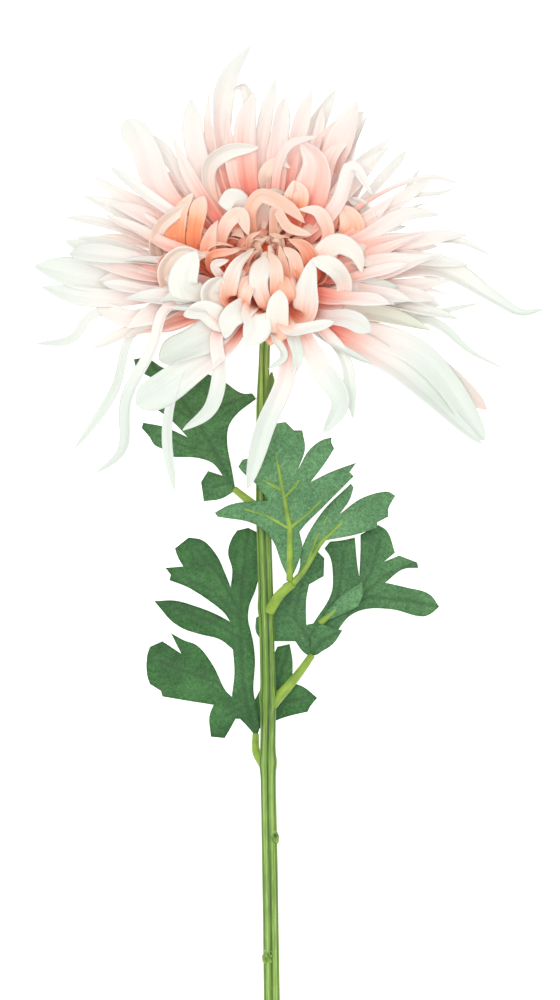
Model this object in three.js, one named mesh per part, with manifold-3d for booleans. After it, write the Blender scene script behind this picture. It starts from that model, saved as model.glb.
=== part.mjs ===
// Spider chrysanthemum: one cut flower that lies on its back. Millimetres, +Z up.
//
// Every piece is drawn in the stem plane: +X to the right of the flower, +Y along the stem
// towards the head, +Z out of its front. The last step lays that plane down on the surface
// (Z = 0), so that the stem rises a little from its cut end to the head.
import * as THREE from 'three';
import * as BufferGeometryUtils from 'three/addons/utils/BufferGeometryUtils.js';
import Module from 'manifold-3d';

const wasm = await Module();
wasm.setup();

const rad = THREE.MathUtils.degToRad;
const vec = (x, y, z) => new THREE.Vector3(x, y, z);

// ---- Driving dimensions (mm, degrees) ----
const STEM_SLOPE = 6.5; // rise of the lying stem towards the head
const STEM_RADIUS_CUT = 3.1;
const STEM_RADIUS_NECK = 2.5;
const STEM_PATH = [
  vec(-1.8, -250, 0), vec(-2.9, -180, 0), vec(-3.6, -134, 0), vec(-4.3, -96, 0),
  vec(-4.3, -72, 0), vec(-5, -38, 0), vec(-6, 0, -0.4), vec(-6, 36, -2.2),
  vec(-5.7, 50, -3.8), vec(-5.3, 59, -3), vec(-5, 66, 0),
];
const STEM_STEPS = 22;
const STEM_KNOBS = [
  { at: vec(-1.3, -121.5, 0.6), radius: 2.3 },
  { at: vec(-5.2, -164.5, 0.6), radius: 2.4 },
  { at: vec(-4.2, -94.5, -0.3), radius: 3.2 },
  { at: vec(-3.9, -71.5, 0), radius: 3.2 },
  { at: vec(-4.6, -38.5, 0.6), radius: 3.1 },
  { at: vec(-6, -5, -0.4), radius: 2.9 },
];
const KNOB_STRETCH = 1.4; // along the stem
const KNOB_FACETS = { around: 6, along: 4 };
const STEM_RIDGES = 6;
const RIDGE_DEPTH = 0.1; // share of the stem's radius
const FIT_GAP = 0.3; // between pieces that touch

// The stub of a bract on the stem under the head: three box rings, y along the stem.
const STUB_BASE = vec(-4.6, 37.5, -0.6);
const STUB_RINGS = [
  { y: -2, left: -1, right: 1.2, back: -1.4, front: 1.2 },
  { y: 4, left: 0, right: 2.6, back: -0.9, front: 0.6 },
  { y: 9, left: 0.6, right: 3.1, back: -0.5, front: 0.4 },
];

const ORIGIN = vec(-3.3, 41.3, 31.4); // moves the stem plane over the part's own origin

const HEAD_CENTRE = vec(-4.7, 75, 6);
const HEAD_TILT = 45; // the head's axis leans out of the stem plane
const HEAD_FACETS = 16; // round the core and the cup
const CORE_PROFILE = [[0, -0.7], [10, -0.7], [16, 3], [18.5, 7], [16, 12], [8, 15], [0, 15.5]];

const BLADE_KEEL = 1.1; // depth of a petal's back under its flat face
const REST_HEIGHT = 0.2; // lowest centre line of a petal that lies on the surface
const REST_SOFTNESS = 2;
const WIDEST_AT = 0.6; // share of a petal's length
const ROOT_WIDTH = 0.3; // share of its full width
const TIP_ROUNDNESS = 0.6;

// The green cup under the head, with heights along the head's axis from its centre.
const CUP_TOP = -1;
const CUP_RADIUS = 11;
const CUP_DEPTH = 11.5;
const CUP_NECK_RADIUS = 3.6;
const CUP_FLARE = { radius: 1.3, depth: 0.7 }; // shares of the neck's radius and the depth
const CUP_BELLY = { radius: 0.85, depth: 0.3 }; // shares of the rim's radius and the depth
const CUP_RIM_DEPTH = 0.1;
const SCALES_PER_ROW = 11;
const SCALE_ROWS = [
  { shift: 0, radius: 1, drop: 0.6 },
  { shift: 0.5, radius: 0.78, drop: 3.2 },
];
const SCALE_BASE = { radius: 0.5, drop: 5.4, half: 1.4 }; // radius as a share of the tip's
const SCALE_MIDDLE = { radius: 0.93, drop: 2.2, half: 1.9 };
const SCALE_TIP_OUT = 0.5;
const SCALE_DEPTH = 0.8;
const SCALE_ROOM = 1.3; // room round the cup for its scales

const LEAF_THICKNESS = 0.8;
const MIDRIB_RADIUS = { base: 1.15, tip: 0.65 };
const MIDRIB_SIDES = 4;
const PETIOLE_STEPS = 5;
const PETIOLE_SIDES = 7;
const SURFACE_BLOCK = { side: 600, depth: 40, y: 100 };

const WELD = 1e-3; // corners closer than this are one corner

// Petals hold to the core at these places: share of the first point's radius, and heights.
const ROOT_RADIUS = 13;
const ROOT_SHARE = 0.55;
const CLAW_ROOT_HEIGHT = 7;
const RAY_ROOT_LOW = 3;
const RAY_ROOT_HIGH = 11;
const RAY_ROOT_RISE = 0.35; // of the height of the ray's first point
const PETAL_TWIST = 0.45; // radians from root to tip, at most

// The claws and rays are placed one by one. Their centre line runs from the core through
// these points, each from the head's centre in the stem plane: x to the right, y towards
// the head, z out of the front.
const CLAWS = [
  // Tongues and claws of the front, from left to right.
  { line: [[-32, -3, 13], [-36.5, 7, 17], [-30.5, 13.5, 20.5], [-22, 12, 21.5]], width: 5.5 },
  { line: [[-22.5, -6, 17], [-30, 1.5, 20], [-25, 13.5, 23.5]], width: 9.5 },
  { line: [[-16, -11, 28], [-22.5, -8, 30.5], [-29.5, -9.5, 32]], width: 6.5 },
  { line: [[-15, -9.5, 20.5], [-20, -2, 23.5], [-16, 4, 27]], width: 8 },
  { line: [[-7.5, -6.5, 27.5], [-12.5, -11, 30.5], [-15, -17.5, 27.5]], width: 7.5 },
  { line: [[-14, -3.5, 26], [-11, 8, 26], [-4.5, 14.5, 22.5]], width: 6 },
  { line: [[-5, -8.5, 28.5], [-3.5, -13.5, 30.5], [-7.5, -20.5, 29]], width: 8.5 },
  { line: [[-0.5, -6, 25.5], [-3, 3.5, 27.5], [-0.5, 12, 23]], width: 8 },
  { line: [[3, -16.5, 25], [4, -9.5, 29], [4.5, -0.5, 31.5]], width: 6 },
  { line: [[3, -3, 25.5], [3.5, 6, 26.5], [1, 13.5, 20.5]], width: 4 },
  { line: [[8.5, -3, 22.5], [6, 8, 23], [4.5, 16, 19.5]], width: 3 },
  { line: [[9, -14.5, 31.5], [15.5, -13.5, 33.5], [24, -12, 32]], width: 5.5 },
  { line: [[12.5, -9.5, 20.5], [14.5, 0.5, 26], [16.5, 11, 29]], width: 8 },
  { line: [[24, -6.5, 16.5], [27.5, 1.5, 22.5], [23.5, 7.5, 29], [16, 10.5, 29]], width: 5.5 },
  // Right.
  { line: [[18.5, 11, 17.5], [25.5, 16, 18], [31.5, 13, 18], [34, 6, 17]], width: 6.5 },
  { line: [[34, 11, 0.5], [37, 21.5, 1], [34, 30, 1], [28.5, 33.5, 2]], width: 6.5 },
  { line: [[28, 13.5, 1], [30.5, 23, 5], [25.5, 31.5, 5.5]], width: 8 },
  { line: [[20, 18.5, 1], [22, 29, 5], [20.5, 35.5, 3]], width: 6.5 },
  { line: [[16, 11, 9], [22, 20, 8], [18.5, 28, 10], [11, 29, 10.5]], width: 4.5 },
  { line: [[16, 7, 15.5], [13.5, 14.5, 18], [7.5, 18, 19]], width: 5 },
  { line: [[10.5, 2.5, 20], [10, 11, 21.5], [6, 15, 21.5]], width: 4.5 },
  // Back, which show their inner faces.
  { line: [[8.5, 24, -1.5], [11, 33, 3.5], [9.5, 39.5, 0]], width: 8.5 },
  { line: [[0.5, 33, -10.5], [-0.5, 42, -5.5], [4, 46, -6.5], [8.5, 44, -5.5]], width: 4.5 },
  { line: [[2, 18.5, 6.5], [3, 29, 10.5], [7.5, 22.5, 14.5], [16, 19.5, 16]], width: 3.5 },
  { line: [[-2, 24, 1.5], [0.5, 34, 8.5], [7.5, 35.5, 2.5]], width: 5 },
  { line: [[-4.5, 17, 5.5], [-6, 29, 11], [-2, 34, 10], [7, 30, 11], [13.5, 24, 13]], width: 4.5 },
  { line: [[-5.5, 29.5, -9.5], [-4.5, 40.5, -9], [-5.5, 49.5, -18]], width: 4.5 },
  { line: [[-9.5, 27.5, -8], [-11, 40.5, -9], [-9.5, 48, -14.5]], width: 5 },
  {
    line: [[-19, 31.5, -11.5], [-20.5, 44.5, -13.5], [-14, 50, -14.5],
      [-3, 51.5, -17.5]],
    width: 5,
  },
  // Left.
  { line: [[-10.5, 21.5, 1], [-11, 31.5, 8], [-17.5, 31.5, 6.5]], width: 8 },
  { line: [[-16, 15, 7.5], [-14, 24.5, 13.5], [-9.5, 27.5, 12], [-6.5, 19.5, 14.5]], width: 4.5 },
  { line: [[-22.5, 31.5, -14.5], [-27.5, 40.5, -15], [-38.5, 42, -16.5]], width: 4.5 },
  { line: [[-27.5, 29.5, -9.5], [-31.5, 36.5, -8.5], [-38.5, 37.5, -9]], width: 5 },
  { line: [[-21, 12, 10.5], [-20, 19.5, 14.5], [-17.5, 25, 13]], width: 5 },
  { line: [[-25.5, 15, 4.5], [-25, 27.5, 9], [-22.5, 34, 4.5]], width: 5.5 },
  { line: [[-32, 14.5, 2.5], [-31.5, 27.5, 6], [-26.5, 35, 4.5]], width: 6.5 },
  { line: [[-38.5, 11, 3.5], [-38.5, 21.5, 6.5], [-27.5, 31.5, 5.5]], width: 5 },
];

const RAYS = [
  // Top, from left to right.
  { line: [[-38.5, 36.5, -2], [-44, 51, -8], [-51, 63.5, -14]], width: 9 },
  { line: [[-29.5, 36.5, -4], [-36.5, 49.5, -12], [-44.5, 58.5, -18]], width: 5 },
  { line: [[-27.5, 40.5, 2], [-31.5, 49.5, -3], [-34, 55.5, -6]], width: 4.5 },
  { line: [[-22.5, 42, -2], [-26.5, 56.5, -9], [-27.5, 70, -14]], width: 6.5 },
  { line: [[-18.5, 47.5, -8], [-21.5, 62, -16], [-21, 72.5, -20]], width: 4 },
  { line: [[-15, 47.5, -6], [-16.5, 67.5, -14], [-13.5, 79, -19], [-6.5, 90.5, -22]], width: 7 },
  { line: [[-12.5, 44, 4], [-13.5, 56.5, -1], [-14.5, 66.5, -4]], width: 3.5 },
  { line: [[-9.5, 51, -8], [-6.5, 67.5, -14], [-8.5, 74.5, -14], [-12.5, 73.5, -12]], width: 4.5 },
  { line: [[-7.5, 45.5, 2], [-7.5, 60, -2], [-4.5, 72, -6]], width: 7.5 },
  { line: [[-2, 45.5, -4], [-0.5, 63.5, -10], [3, 77.5, -15]], width: 5 },
  { line: [[3.5, 45.5, 0], [4.5, 58.5, -4], [6, 70, -8]], width: 6.5 },
  { line: [[9, 47.5, -4], [12.5, 62, -10], [16, 73.5, -15]], width: 6 },
  { line: [[15, 45.5, -8], [18.5, 58.5, -14], [20, 67.5, -19]], width: 4 },
  { line: [[4.5, 45.5, 6], [8.5, 52.5, 7], [19, 55.5, 4]], width: 3 },
  { line: [[16, 35, 6], [17, 45.5, 5], [13, 53.5, 2]], width: 10.5 },
  { line: [[18.5, 34, 2], [24, 51, -5], [35.5, 65, -8]], width: 6 },
  { line: [[25.5, 31.5, 8], [30.5, 44.5, 6], [38, 34, 8]], width: 5.5 },
  // Right, from the top down.
  { line: [[26.5, 35, 2], [35.5, 44.5, -3], [44.5, 52, -8]], width: 6.5 },
  { line: [[33.5, 31.5, -2], [43.5, 43, -9], [50.5, 51.5, -13]], width: 4 },
  { line: [[37, 24, -4], [48.5, 35, -12], [54.5, 46.5, -18]], width: 3 },
  { line: [[35.5, 31.5, 2], [49.5, 39, -4], [60.5, 41, -7], [70, 38, -8]], width: 3.5 },
  { line: [[35.5, 26, 2], [51.5, 34, -3], [62.5, 35.5, -5], [69.5, 38, -6]], width: 3 },
  { line: [[33.5, 23, 4], [46, 31.5, 0], [58.5, 40.5, -6]], width: 5 },
  { line: [[33.5, 18.5, 6], [49.5, 27.5, 2], [62.5, 28.5, 0]], width: 5 },
  { line: [[35.5, 16, 6], [55, 18.5, 4], [73, 21, 0]], width: 5 },
  { line: [[37, 11, 4], [57, 18, 2], [70, 17.5, 0], [80.5, 12, -2]], width: 3.5 },
  { line: [[33.5, 11, 8], [51.5, 12, 6], [72.5, 9, 3]], width: 5 },
  {
    line: [[30, 4.5, 6], [60.5, 8.5, 4], [80.5, -2.5, 5],
      [91, -8.5, 6], [99.5, -7.5, 6]],
    width: 6.5,
  },
  { line: [[30, 2.5, 8], [48, 2, 8], [65.5, 3.5, 6]], width: 4.5 },
  { line: [[21, -3.5, 14], [34, -0.5, 16], [46.5, 1, 14]], width: 9 },
  { line: [[28, -4.5, 10], [48, -3, 9], [59, -8.5, 8]], width: 4.5 },
  { line: [[30, -6, 8], [57, -8.5, 8], [67.5, -6.5, 7], [77, -4.5, 6]], width: 3 },
  { line: [[19, -7, 14], [39, -8.5, 13], [59, -13.5, 10]], width: 7.5 },
  { line: [[28, -9.5, 8], [58.5, -11, 7], [73, -21.5, 5], [85, -26.5, 4]], width: 3.5 },
  { line: [[28, -11, 12], [55, -23, 10], [79, -43, 6]], width: 5.5 },
  { line: [[22.5, -12, 15], [53.5, -22.5, 13], [78, -53.5, 8]], width: 8.5 },
  { line: [[21, -13.5, 18], [46, -31.5, 16], [76, -56, 12]], width: 7.5 },
  // Hanging in front of the stem and the upper leaf, from right to left.
  { line: [[17.5, -14.5, 20], [27, -21.5, 22], [37, -27.5, 22]], width: 5 },
  { line: [[18.5, -13.5, 20], [27.5, -24.5, 22], [31, -46.5, 20]], width: 4 },
  { line: [[12.5, -15.5, 22], [19, -27.5, 25], [26, -39.5, 24], [20, -51, 22]], width: 7 },
  { line: [[9, -16.5, 24], [11, -24, 27], [8.5, -33, 26]], width: 4 },
  { line: [[7.5, -18, 24], [6.5, -31.5, 26], [-1, -49.5, 22], [-7, -70.5, 18]], width: 8 },
  { line: [[3, -18, 26], [6, -24, 28], [0.5, -28.5, 28]], width: 3.5 },
  { line: [[-17.5, -16.5, 26], [-16.5, -30, 28], [-20, -42, 26], [-30, -50, 22]], width: 5 },
  {
    line: [[-26, -21.5, 22], [-34, -39.5, 22], [-35.5, -53.5, 19],
      [-32.5, -71.5, 16]],
    width: 3.5,
  },
  { line: [[-14, -18, 24], [-25, -26.5, 26], [-36.5, -35.5, 22], [-46, -40.5, 18]], width: 9 },
  { line: [[-17, -14.5, 22], [-28.5, -20, 24], [-38.5, -25, 20]], width: 8.5 },
  {
    line: [[-24, -7, 20], [-35.5, -7, 24], [-40.5, -21, 24],
      [-49.5, -39, 18], [-52, -57, 12], [-62.5, -66, 8]],
    width: 5.5,
  },
  { line: [[-33, -13.5, 14], [-47.5, -15.5, 14], [-54.5, -35.5, 10], [-68, -57, 6]], width: 3 },
  // Left, from the bottom up.
  { line: [[-33, -11, 14], [-49.5, -14.5, 12], [-63, -20, 8]], width: 5.5 },
  { line: [[-38.5, -9.5, 8], [-62, -8.5, 8], [-70, -17.5, 6], [-83.5, -19, 5]], width: 3 },
  { line: [[-31.5, -6, 12], [-49.5, -10, 12], [-61.5, -5, 8]], width: 5.5 },
  { line: [[-35, -1.5, 10], [-60, -3, 8], [-81, 2, 3]], width: 5.5 },
  { line: [[-36.5, 3, 8], [-60, 4.5, 5], [-83.5, 9.5, 0]], width: 9.5 },
  { line: [[-38.5, 8.5, 10], [-51, 12, 9], [-65.5, 11, 6]], width: 6 },
  { line: [[-36.5, 11, 4], [-56.5, 13, 2], [-72.5, 18, -2]], width: 6 },
  { line: [[-35.5, 16, 8], [-46.5, 21.5, 6], [-58, 26.5, 3]], width: 6 },
  { line: [[-38.5, 20.5, 2], [-53.5, 29.5, -3], [-66, 35.5, -7]], width: 7 },
  { line: [[-42, 27.5, -2], [-53.5, 35, -7], [-63.5, 42, -11]], width: 6.5 },
  { line: [[-40.5, 33, 2], [-48.5, 39, -2], [-56, 44.5, -5]], width: 4.5 },
];

// How each kind of petal is drawn. Spread is its width over the one in its row, and facing
// is the share by which its flat turns towards the front of the flower.
const CLAW = { spread: 1.2, facing: 0.85, steps: 4 };
const FILL_CLAW = { spread: 1.15, facing: 0.3, steps: 3 };
const RAY = { spread: 1.1, facing: 0.45, steps: 4 };
const STRAP = { spread: 1.05, facing: 0.2, steps: 3 };
const LEAST_FACING = 0.05; // a petal that points at the front more than this keeps its turn

// Low claws that fill the crown under the others, ring by ring from the eye outwards.
const FILL_RINGS = [
  { count: 8, reach: 11, height: 17, close: 0.35, width: 6 },
  { count: 11, reach: 21, height: 17, close: 0.6, width: 8 },
  { count: 9, reach: 32, height: 13, close: 0.85, width: 9 },
];
// How much one fill claw differs from the next, as shares of its ring's own values.
const FILL_DRAWS = { place: 0.35, reach: 0.1, height: 0.12, skew: 0.22, width: 0.12 };
const RING_STAGGER = 0.37; // of the step between two claws, from ring to ring
const FILL_ROOT = { radius: 2, reach: 0.3, height: 10, drop: 0.1 }; // shares of the reach
const FILL_BELLY = { reach: 1.15, height: 0.5 }; // shares of the claw's reach and height
const FILL_SHOULDER = { reach: 1.2, skew: 0.5, height: 1.25 };
const FILL_TIP_HEIGHT = 1.02;

// Straps that spread round the crown between the rays, tier by tier downwards. Those at the
// rear droop to the surface, those at the sides lie flatter, and straight in front are none.
const STRAP_TIERS = [
  { count: 10, lift: 32, rearDroop: 0, frontRise: 6, length: 50, width: 8.5, arch: 2, root: 9 },
  { count: 11, lift: 16, rearDroop: 0, frontRise: 16, length: 56, width: 8, arch: 3, root: 6 },
  { count: 16, lift: -2, rearDroop: 26, frontRise: 26, length: 60, width: 7.5, arch: 5, root: 3 },
];
const STRAP_DRAWS = { place: 0.42, lift: 8, length: 0.18, sway: 8, width: 0.15 };
const REAR_GROWTH = 0.1; // of the length, for straps at the rear
const FRONT_LOSS = 0.48; // of the length, for straps in front
const FRONT_END = 0.8; // how far round to the front the straps go, 1 for all the way
const SIDE_DIP = 0.48; // of the tier's lift, for straps at the sides
const TIER_STAGGER = 0.5; // of the step between two straps, from tier to tier
const STRAP_START = 0.33; // share of the length that runs straight out
const STRAP_BEND = { at: 0.68, sway: 0.6 }; // where it arches, and how far it swings back

const LEAVES = {
  leaf_upper_left: {
    petiole: [vec(-5.5, -5, -0.5), vec(-11, -0.5, -2.2), vec(-16.5, 4, -3.6)],
    petioleRadius: [1.9, 1.2],
    blades: [{
      height: -4, slope: [0.12, -0.11], fold: 0.1, curl: -2,
      rib: [[-16, 3.5], [-23.5, 17.5], [-29.5, 28], [-39, 41]],
      left: [[-21, 0.5], [-27.5, -0.5], [-28.5, 6.5], [-26, 10.5], [-20.7, 8.8],
        [-24, 13], [-29, 15], [-38.5, 15.5], [-40.5, 17.5], [-45.5, 20], [-47, 22.5],
        [-50, 26], [-49.5, 28], [-42, 26.5], [-33.5, 22.8], [-39, 28.5], [-45.5, 33.5],
        [-45, 39], [-44, 43], [-52, 47], [-53, 51]],
      tip: [-48.5, 51.5],
      right: [[-17.5, 12], [-19, 20.5], [-18.5, 26.5], [-16, 30.5], [-8.5, 36.5],
        [-10, 38.5], [-13.5, 38.5], [-20.5, 43], [-27, 46], [-32, 43.5], [-36.5, 46],
        [-42.5, 48]],
    }],
  },
  leaf_front: {
    petiole: [vec(-4, -40, 1.5), vec(0, -34, 4.6), vec(4.5, -30, 5.6)],
    petioleRadius: [2.1, 1.5],
    blades: [{
      height: 5.6, slope: [0.04, 0.16], fold: -0.14, curl: -3,
      rib: [[3.5, -29], [3.5, -10], [1.5, 1], [-1.5, 16]],
      left: [[1, -24], [-3, -14], [-8.5, -9], [-22.5, -6], [-23.5, -4.5], [-17.5, -1.5],
        [-4, -0.2], [-9, 6], [-13.5, 10], [-15, 12], [-13.5, 14.5], [-7, 16],
        [-5, 21.5], [-3, 25], [-1, 27.5]],
      tip: [2, 28],
      right: [[6, -24], [8, -17], [7, -11.5], [8.5, -9.5], [15, -3], [26.5, 8.5],
        [25, 10], [27.5, 13.5], [18, 10], [11, 6.5], [16, 13], [19.5, 18.5],
        [18.5, 20.5], [18.5, 22.5], [15, 21.5], [10.5, 18], [6.5, 11], [9, 18.5],
        [8, 25], [5, 25]],
    }, {
      height: 5.4, slope: [0.05, 0.02], fold: -0.12, curl: -3,
      rib: [[4.5, -30], [8.5, -25.5], [15, -15], [23.5, -7]],
      left: [[7, -24.5], [7.5, -18.5], [15, -4.5], [25.5, 6], [26.5, 4.5], [25, 0],
        [21.5, -5], [29, 0.5], [37, 3], [39, 3]],
      tip: [41.5, 1.5],
      right: [[8, -28], [12, -20.5], [16.5, -14.5], [27, -12.5], [35, -10], [35, -8],
        [39, -6], [39, -3]],
    }],
  },
  leaf_right: {
    petiole: [vec(-3, -74, -0.3), vec(6, -63.5, -2.4), vec(11.5, -56, -5)],
    petioleRadius: [2, 1.3],
    blades: [{
      height: -5.4, slope: [0.07, 0.0], fold: 0.08, curl: -3,
      rib: [[11, -56.5], [13, -51], [17, -44], [24, -37.5], [32.5, -35], [45, -36]],
      left: [[8.5, -55], [5.5, -51], [-6.5, -51], [-8.7, -47.5], [-8.7, -42.5],
        [-1.5, -38], [1, -30.5], [5, -28], [8, -26], [9.5, -19], [13.5, -18.5],
        [16, -21], [15.8, -27.5], [10.5, -30.5], [9.5, -36], [9.5, -45], [12, -44.5],
        [18.5, -33.5], [19, -26.5], [18, -20.5], [16, -17.5], [18, -15], [22.5, -14.5],
        [27, -13.5], [28, -24], [28.6, -27.5], [29, -18], [29, -12.5], [35.5, -9],
        [38.5, -11], [41.5, -19], [37.5, -22.3], [43, -20], [49.5, -22.5], [50, -24.5],
        [44.5, -25], [38, -29.8], [45.5, -31.5], [54, -34]],
      tip: [57.5, -38.5],
      right: [[14, -55.5], [20.5, -47.5], [25, -42], [30.5, -39.5], [40.5, -39.5],
        [52, -42], [54.5, -41]],
    }, {
      height: -4.6, slope: [0.16, 0.1], fold: 0.05, curl: 0,
      rib: [[11, -56], [15.5, -50.5]],
      left: [[11, -48.5], [14.5, -44.5]],
      tip: [22.5, -47],
      right: [[13.5, -55.3], [19, -52]],
    }, {
      height: -4.2, slope: [0.1, 0.22], fold: 0.1, curl: 0,
      rib: [[14.5, -44.5], [21, -38.5]],
      left: [[16.5, -41], [21.5, -35]],
      tip: [29.5, -29.5],
      right: [[20.5, -42], [28, -38.5], [30, -33.5]],
    }],
  },
  leaf_lower_left: {
    petiole: [vec(-5, -97, -0.5), vec(-8.5, -91, -3), vec(-8.8, -84.5, -6)],
    petioleRadius: [1.8, 1.2],
    blades: [{
      height: -6.6, slope: [0.12, 0.0], fold: 0.1, curl: -2,
      rib: [[-8.7, -85.5], [-11.3, -76.5], [-13.5, -65], [-14, -54], [-14.5, -43],
        [-13.5, -29]],
      left: [[-12, -81.5], [-14.5, -79], [-16, -79], [-18.5, -83.5], [-20, -86],
        [-25, -85.5], [-25.5, -78], [-24, -74], [-33.5, -72.5], [-42.5, -71], [-43, -69],
        [-47, -66.5], [-48, -63.5], [-48, -56], [-47, -53], [-42.5, -51], [-35.7, -55.5],
        [-39.5, -48], [-35, -50.5], [-30, -52.5], [-24, -60], [-19.5, -69],
        [-17.4, -71], [-16.5, -62.5], [-17, -54], [-21.5, -50.5], [-29, -48.5],
        [-35, -46.5], [-39.5, -43.5], [-43, -39.5], [-45.5, -36.5], [-38, -36.3],
        [-30, -38.5], [-22.5, -41.5], [-18, -44], [-20, -41], [-26.5, -35.8],
        [-33.5, -31.5], [-40, -29], [-39.5, -27], [-41.5, -24.5], [-35, -24], [-37, -20.5],
        [-38, -17.5], [-33, -13.5], [-28, -14.5], [-22.5, -20.5], [-20, -26],
        [-17.8, -31.5], [-17.3, -25], [-18.8, -19], [-17.5, -14], [-15.5, -11]],
      tip: [-11.5, -10],
      right: [[-7.5, -83], [-8, -76.5], [-9.5, -69.5], [-9, -57.5], [-9.8, -50.5],
        [-10.5, -47.5], [-11.5, -43], [-11, -38], [-9, -33], [-7.5, -27], [-7, -18],
        [-8.5, -11.5]],
    }, {
      height: -6.9, slope: [-0.12, 0.0], fold: 0.06, curl: 0,
      rib: [[-9.5, -82], [-2.5, -74], [-0.5, -66]],
      left: [[-10.8, -77], [-7, -68], [-3, -57.5], [-1, -53]],
      tip: [3.5, -52],
      right: [[-7, -82.5], [-1, -79.5], [3.5, -78], [10, -76.5], [11, -74.5],
        [13.5, -71.5], [8.5, -67.5], [4.5, -66], [4.5, -57.5]],
    }],
  },
};

const COLOURS = {
  petal: { color: 0xf7e2d8, roughness: 0.75, metalness: 0 },
  cup: { color: 0x9bb06a, roughness: 0.7, metalness: 0 },
  stem: { color: 0x7fa84c, roughness: 0.5, metalness: 0 },
  leaf: { color: 0x4f8a54, roughness: 0.8, metalness: 0 },
};

// ---- Frames ----
const layDown = new THREE.Matrix4()
  .makeTranslation(ORIGIN.x, ORIGIN.y, ORIGIN.z)
  .multiply(new THREE.Matrix4().makeRotationX(rad(STEM_SLOPE)));

const headAcross = vec(1, 0, 0);
const headUp = vec(0, Math.sin(rad(HEAD_TILT)), -Math.cos(rad(HEAD_TILT)));
const headAxis = vec(0, Math.cos(rad(HEAD_TILT)), Math.sin(rad(HEAD_TILT)));

// Direction that leans `lift` radians up from the head's plane, at `angle` round its axis.
function headDirection(angle, lift = 0) {
  const level = Math.cos(lift);
  return headAcross.clone().multiplyScalar(level * Math.cos(angle))
    .addScaledVector(headUp, level * Math.sin(angle))
    .addScaledVector(headAxis, Math.sin(lift));
}

function headPoint(radius, angle, height) {
  return HEAD_CENTRE.clone()
    .addScaledVector(headDirection(angle), radius)
    .addScaledVector(headAxis, height);
}

// Steady random number from 0 to 1: draw number `k` of petal number `i`.
function draw(i, k) {
  const wave = Math.sin(i * 12.9898 + k * 78.233) * 43758.5453;
  return wave - Math.floor(wave);
}

// The same from -1 to 1.
const swing = (i, k) => 2 * draw(i, k) - 1;

// ---- Solids ----
function solidFrom(positions, triangles) {
  return new wasm.Manifold(new wasm.Mesh({
    numProp: 3,
    vertProperties: new Float32Array(positions.flatMap((p) => [p.x, p.y, p.z])),
    triVerts: new Uint32Array(triangles.flat()),
  }));
}

function signedVolume(positions, triangles) {
  let total = 0;
  for (const [a, b, c] of triangles) {
    total += positions[a].dot(positions[b].clone().cross(positions[c]));
  }
  return total / 6;
}

function facingOut(positions, triangles) {
  if (signedVolume(positions, triangles) > 0) return triangles;
  return triangles.map(([a, b, c]) => [a, c, b]);
}

// Skin over rings of equal count, with a flat first end and a flat or pointed last end.
function loft(rings, point = null) {
  const count = rings[0].length;
  const positions = rings.flat();
  const triangles = [];
  for (let i = 0; i + 1 < rings.length; i++) {
    for (let j = 0; j < count; j++) {
      const a = i * count + j;
      const b = i * count + ((j + 1) % count);
      triangles.push([a, b, b + count], [a, b + count, a + count]);
    }
  }
  const last = (rings.length - 1) * count;
  for (let j = 1; j + 1 < count; j++) triangles.push([0, j + 1, j]);
  if (point) {
    positions.push(point);
    const apex = positions.length - 1;
    for (let j = 0; j < count; j++) triangles.push([last + j, last + ((j + 1) % count), apex]);
  } else {
    for (let j = 1; j + 1 < count; j++) triangles.push([last, last + j, last + j + 1]);
  }
  return solidFrom(positions, facingOut(positions, triangles));
}

function solidFromGeometry(geometry) {
  geometry.deleteAttribute('normal');
  geometry.deleteAttribute('uv');
  const merged = BufferGeometryUtils.mergeVertices(geometry, WELD);
  return new wasm.Manifold(new wasm.Mesh({
    numProp: 3,
    vertProperties: new Float32Array(merged.attributes.position.array),
    triVerts: new Uint32Array(merged.index.array),
  }));
}

function geometryOf(solid) {
  const data = solid.getMesh();
  const geometry = new THREE.BufferGeometry();
  geometry.setAttribute('position', new THREE.BufferAttribute(data.vertProperties, 3));
  geometry.setIndex(new THREE.BufferAttribute(data.triVerts, 1));
  return geometry;
}

// The largest body of a solid, its corners welded: loose scraps go, sealed hollows are filled.
function mainBody(solid) {
  const welded = solidFromGeometry(geometryOf(solid));
  return welded.decompose().reduce((best, body) => (body.volume() > best.volume() ? body : best));
}

function tube(path, steps, radiusAt, sides, ridge = 0) {
  const curve = new THREE.CatmullRomCurve3(path, false, 'centripetal');
  const frames = curve.computeFrenetFrames(steps, false);
  const rings = [];
  for (let i = 0; i <= steps; i++) {
    const share = i / steps;
    const centre = curve.getPointAt(share);
    const ring = [];
    for (let j = 0; j < sides; j++) {
      const turn = (2 * Math.PI * j) / sides;
      const radius = radiusAt(share) * (1 - (j % 2 ? ridge : 0));
      ring.push(centre.clone()
        .addScaledVector(frames.normals[i], radius * Math.cos(turn))
        .addScaledVector(frames.binormals[i], radius * Math.sin(turn)));
    }
    rings.push(ring);
  }
  return loft(rings);
}

// ---- Stem ----
// The stem, or with `extra` the space that it needs.
function stemTube(extra) {
  const radiusAt = (share) => extra
    + THREE.MathUtils.lerp(STEM_RADIUS_CUT, STEM_RADIUS_NECK, share);
  const [beforeLast, last] = STEM_PATH.slice(-2);
  const onwards = last.clone().sub(beforeLast).setLength(extra);
  const path = [...STEM_PATH.slice(0, -1), last.clone().add(onwards)];
  return tube(path, STEM_STEPS, radiusAt, 2 * STEM_RIDGES, RIDGE_DEPTH);
}

function knob(centre, radius, stretch) {
  const ball = new THREE.SphereGeometry(radius, KNOB_FACETS.around, KNOB_FACETS.along);
  ball.scale(1, stretch, 1);
  ball.translate(centre.x, centre.y, centre.z);
  return solidFromGeometry(ball);
}

function stemKnobs(extra) {
  return STEM_KNOBS.map(({ at, radius }) => knob(at, radius + extra, KNOB_STRETCH));
}

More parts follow.
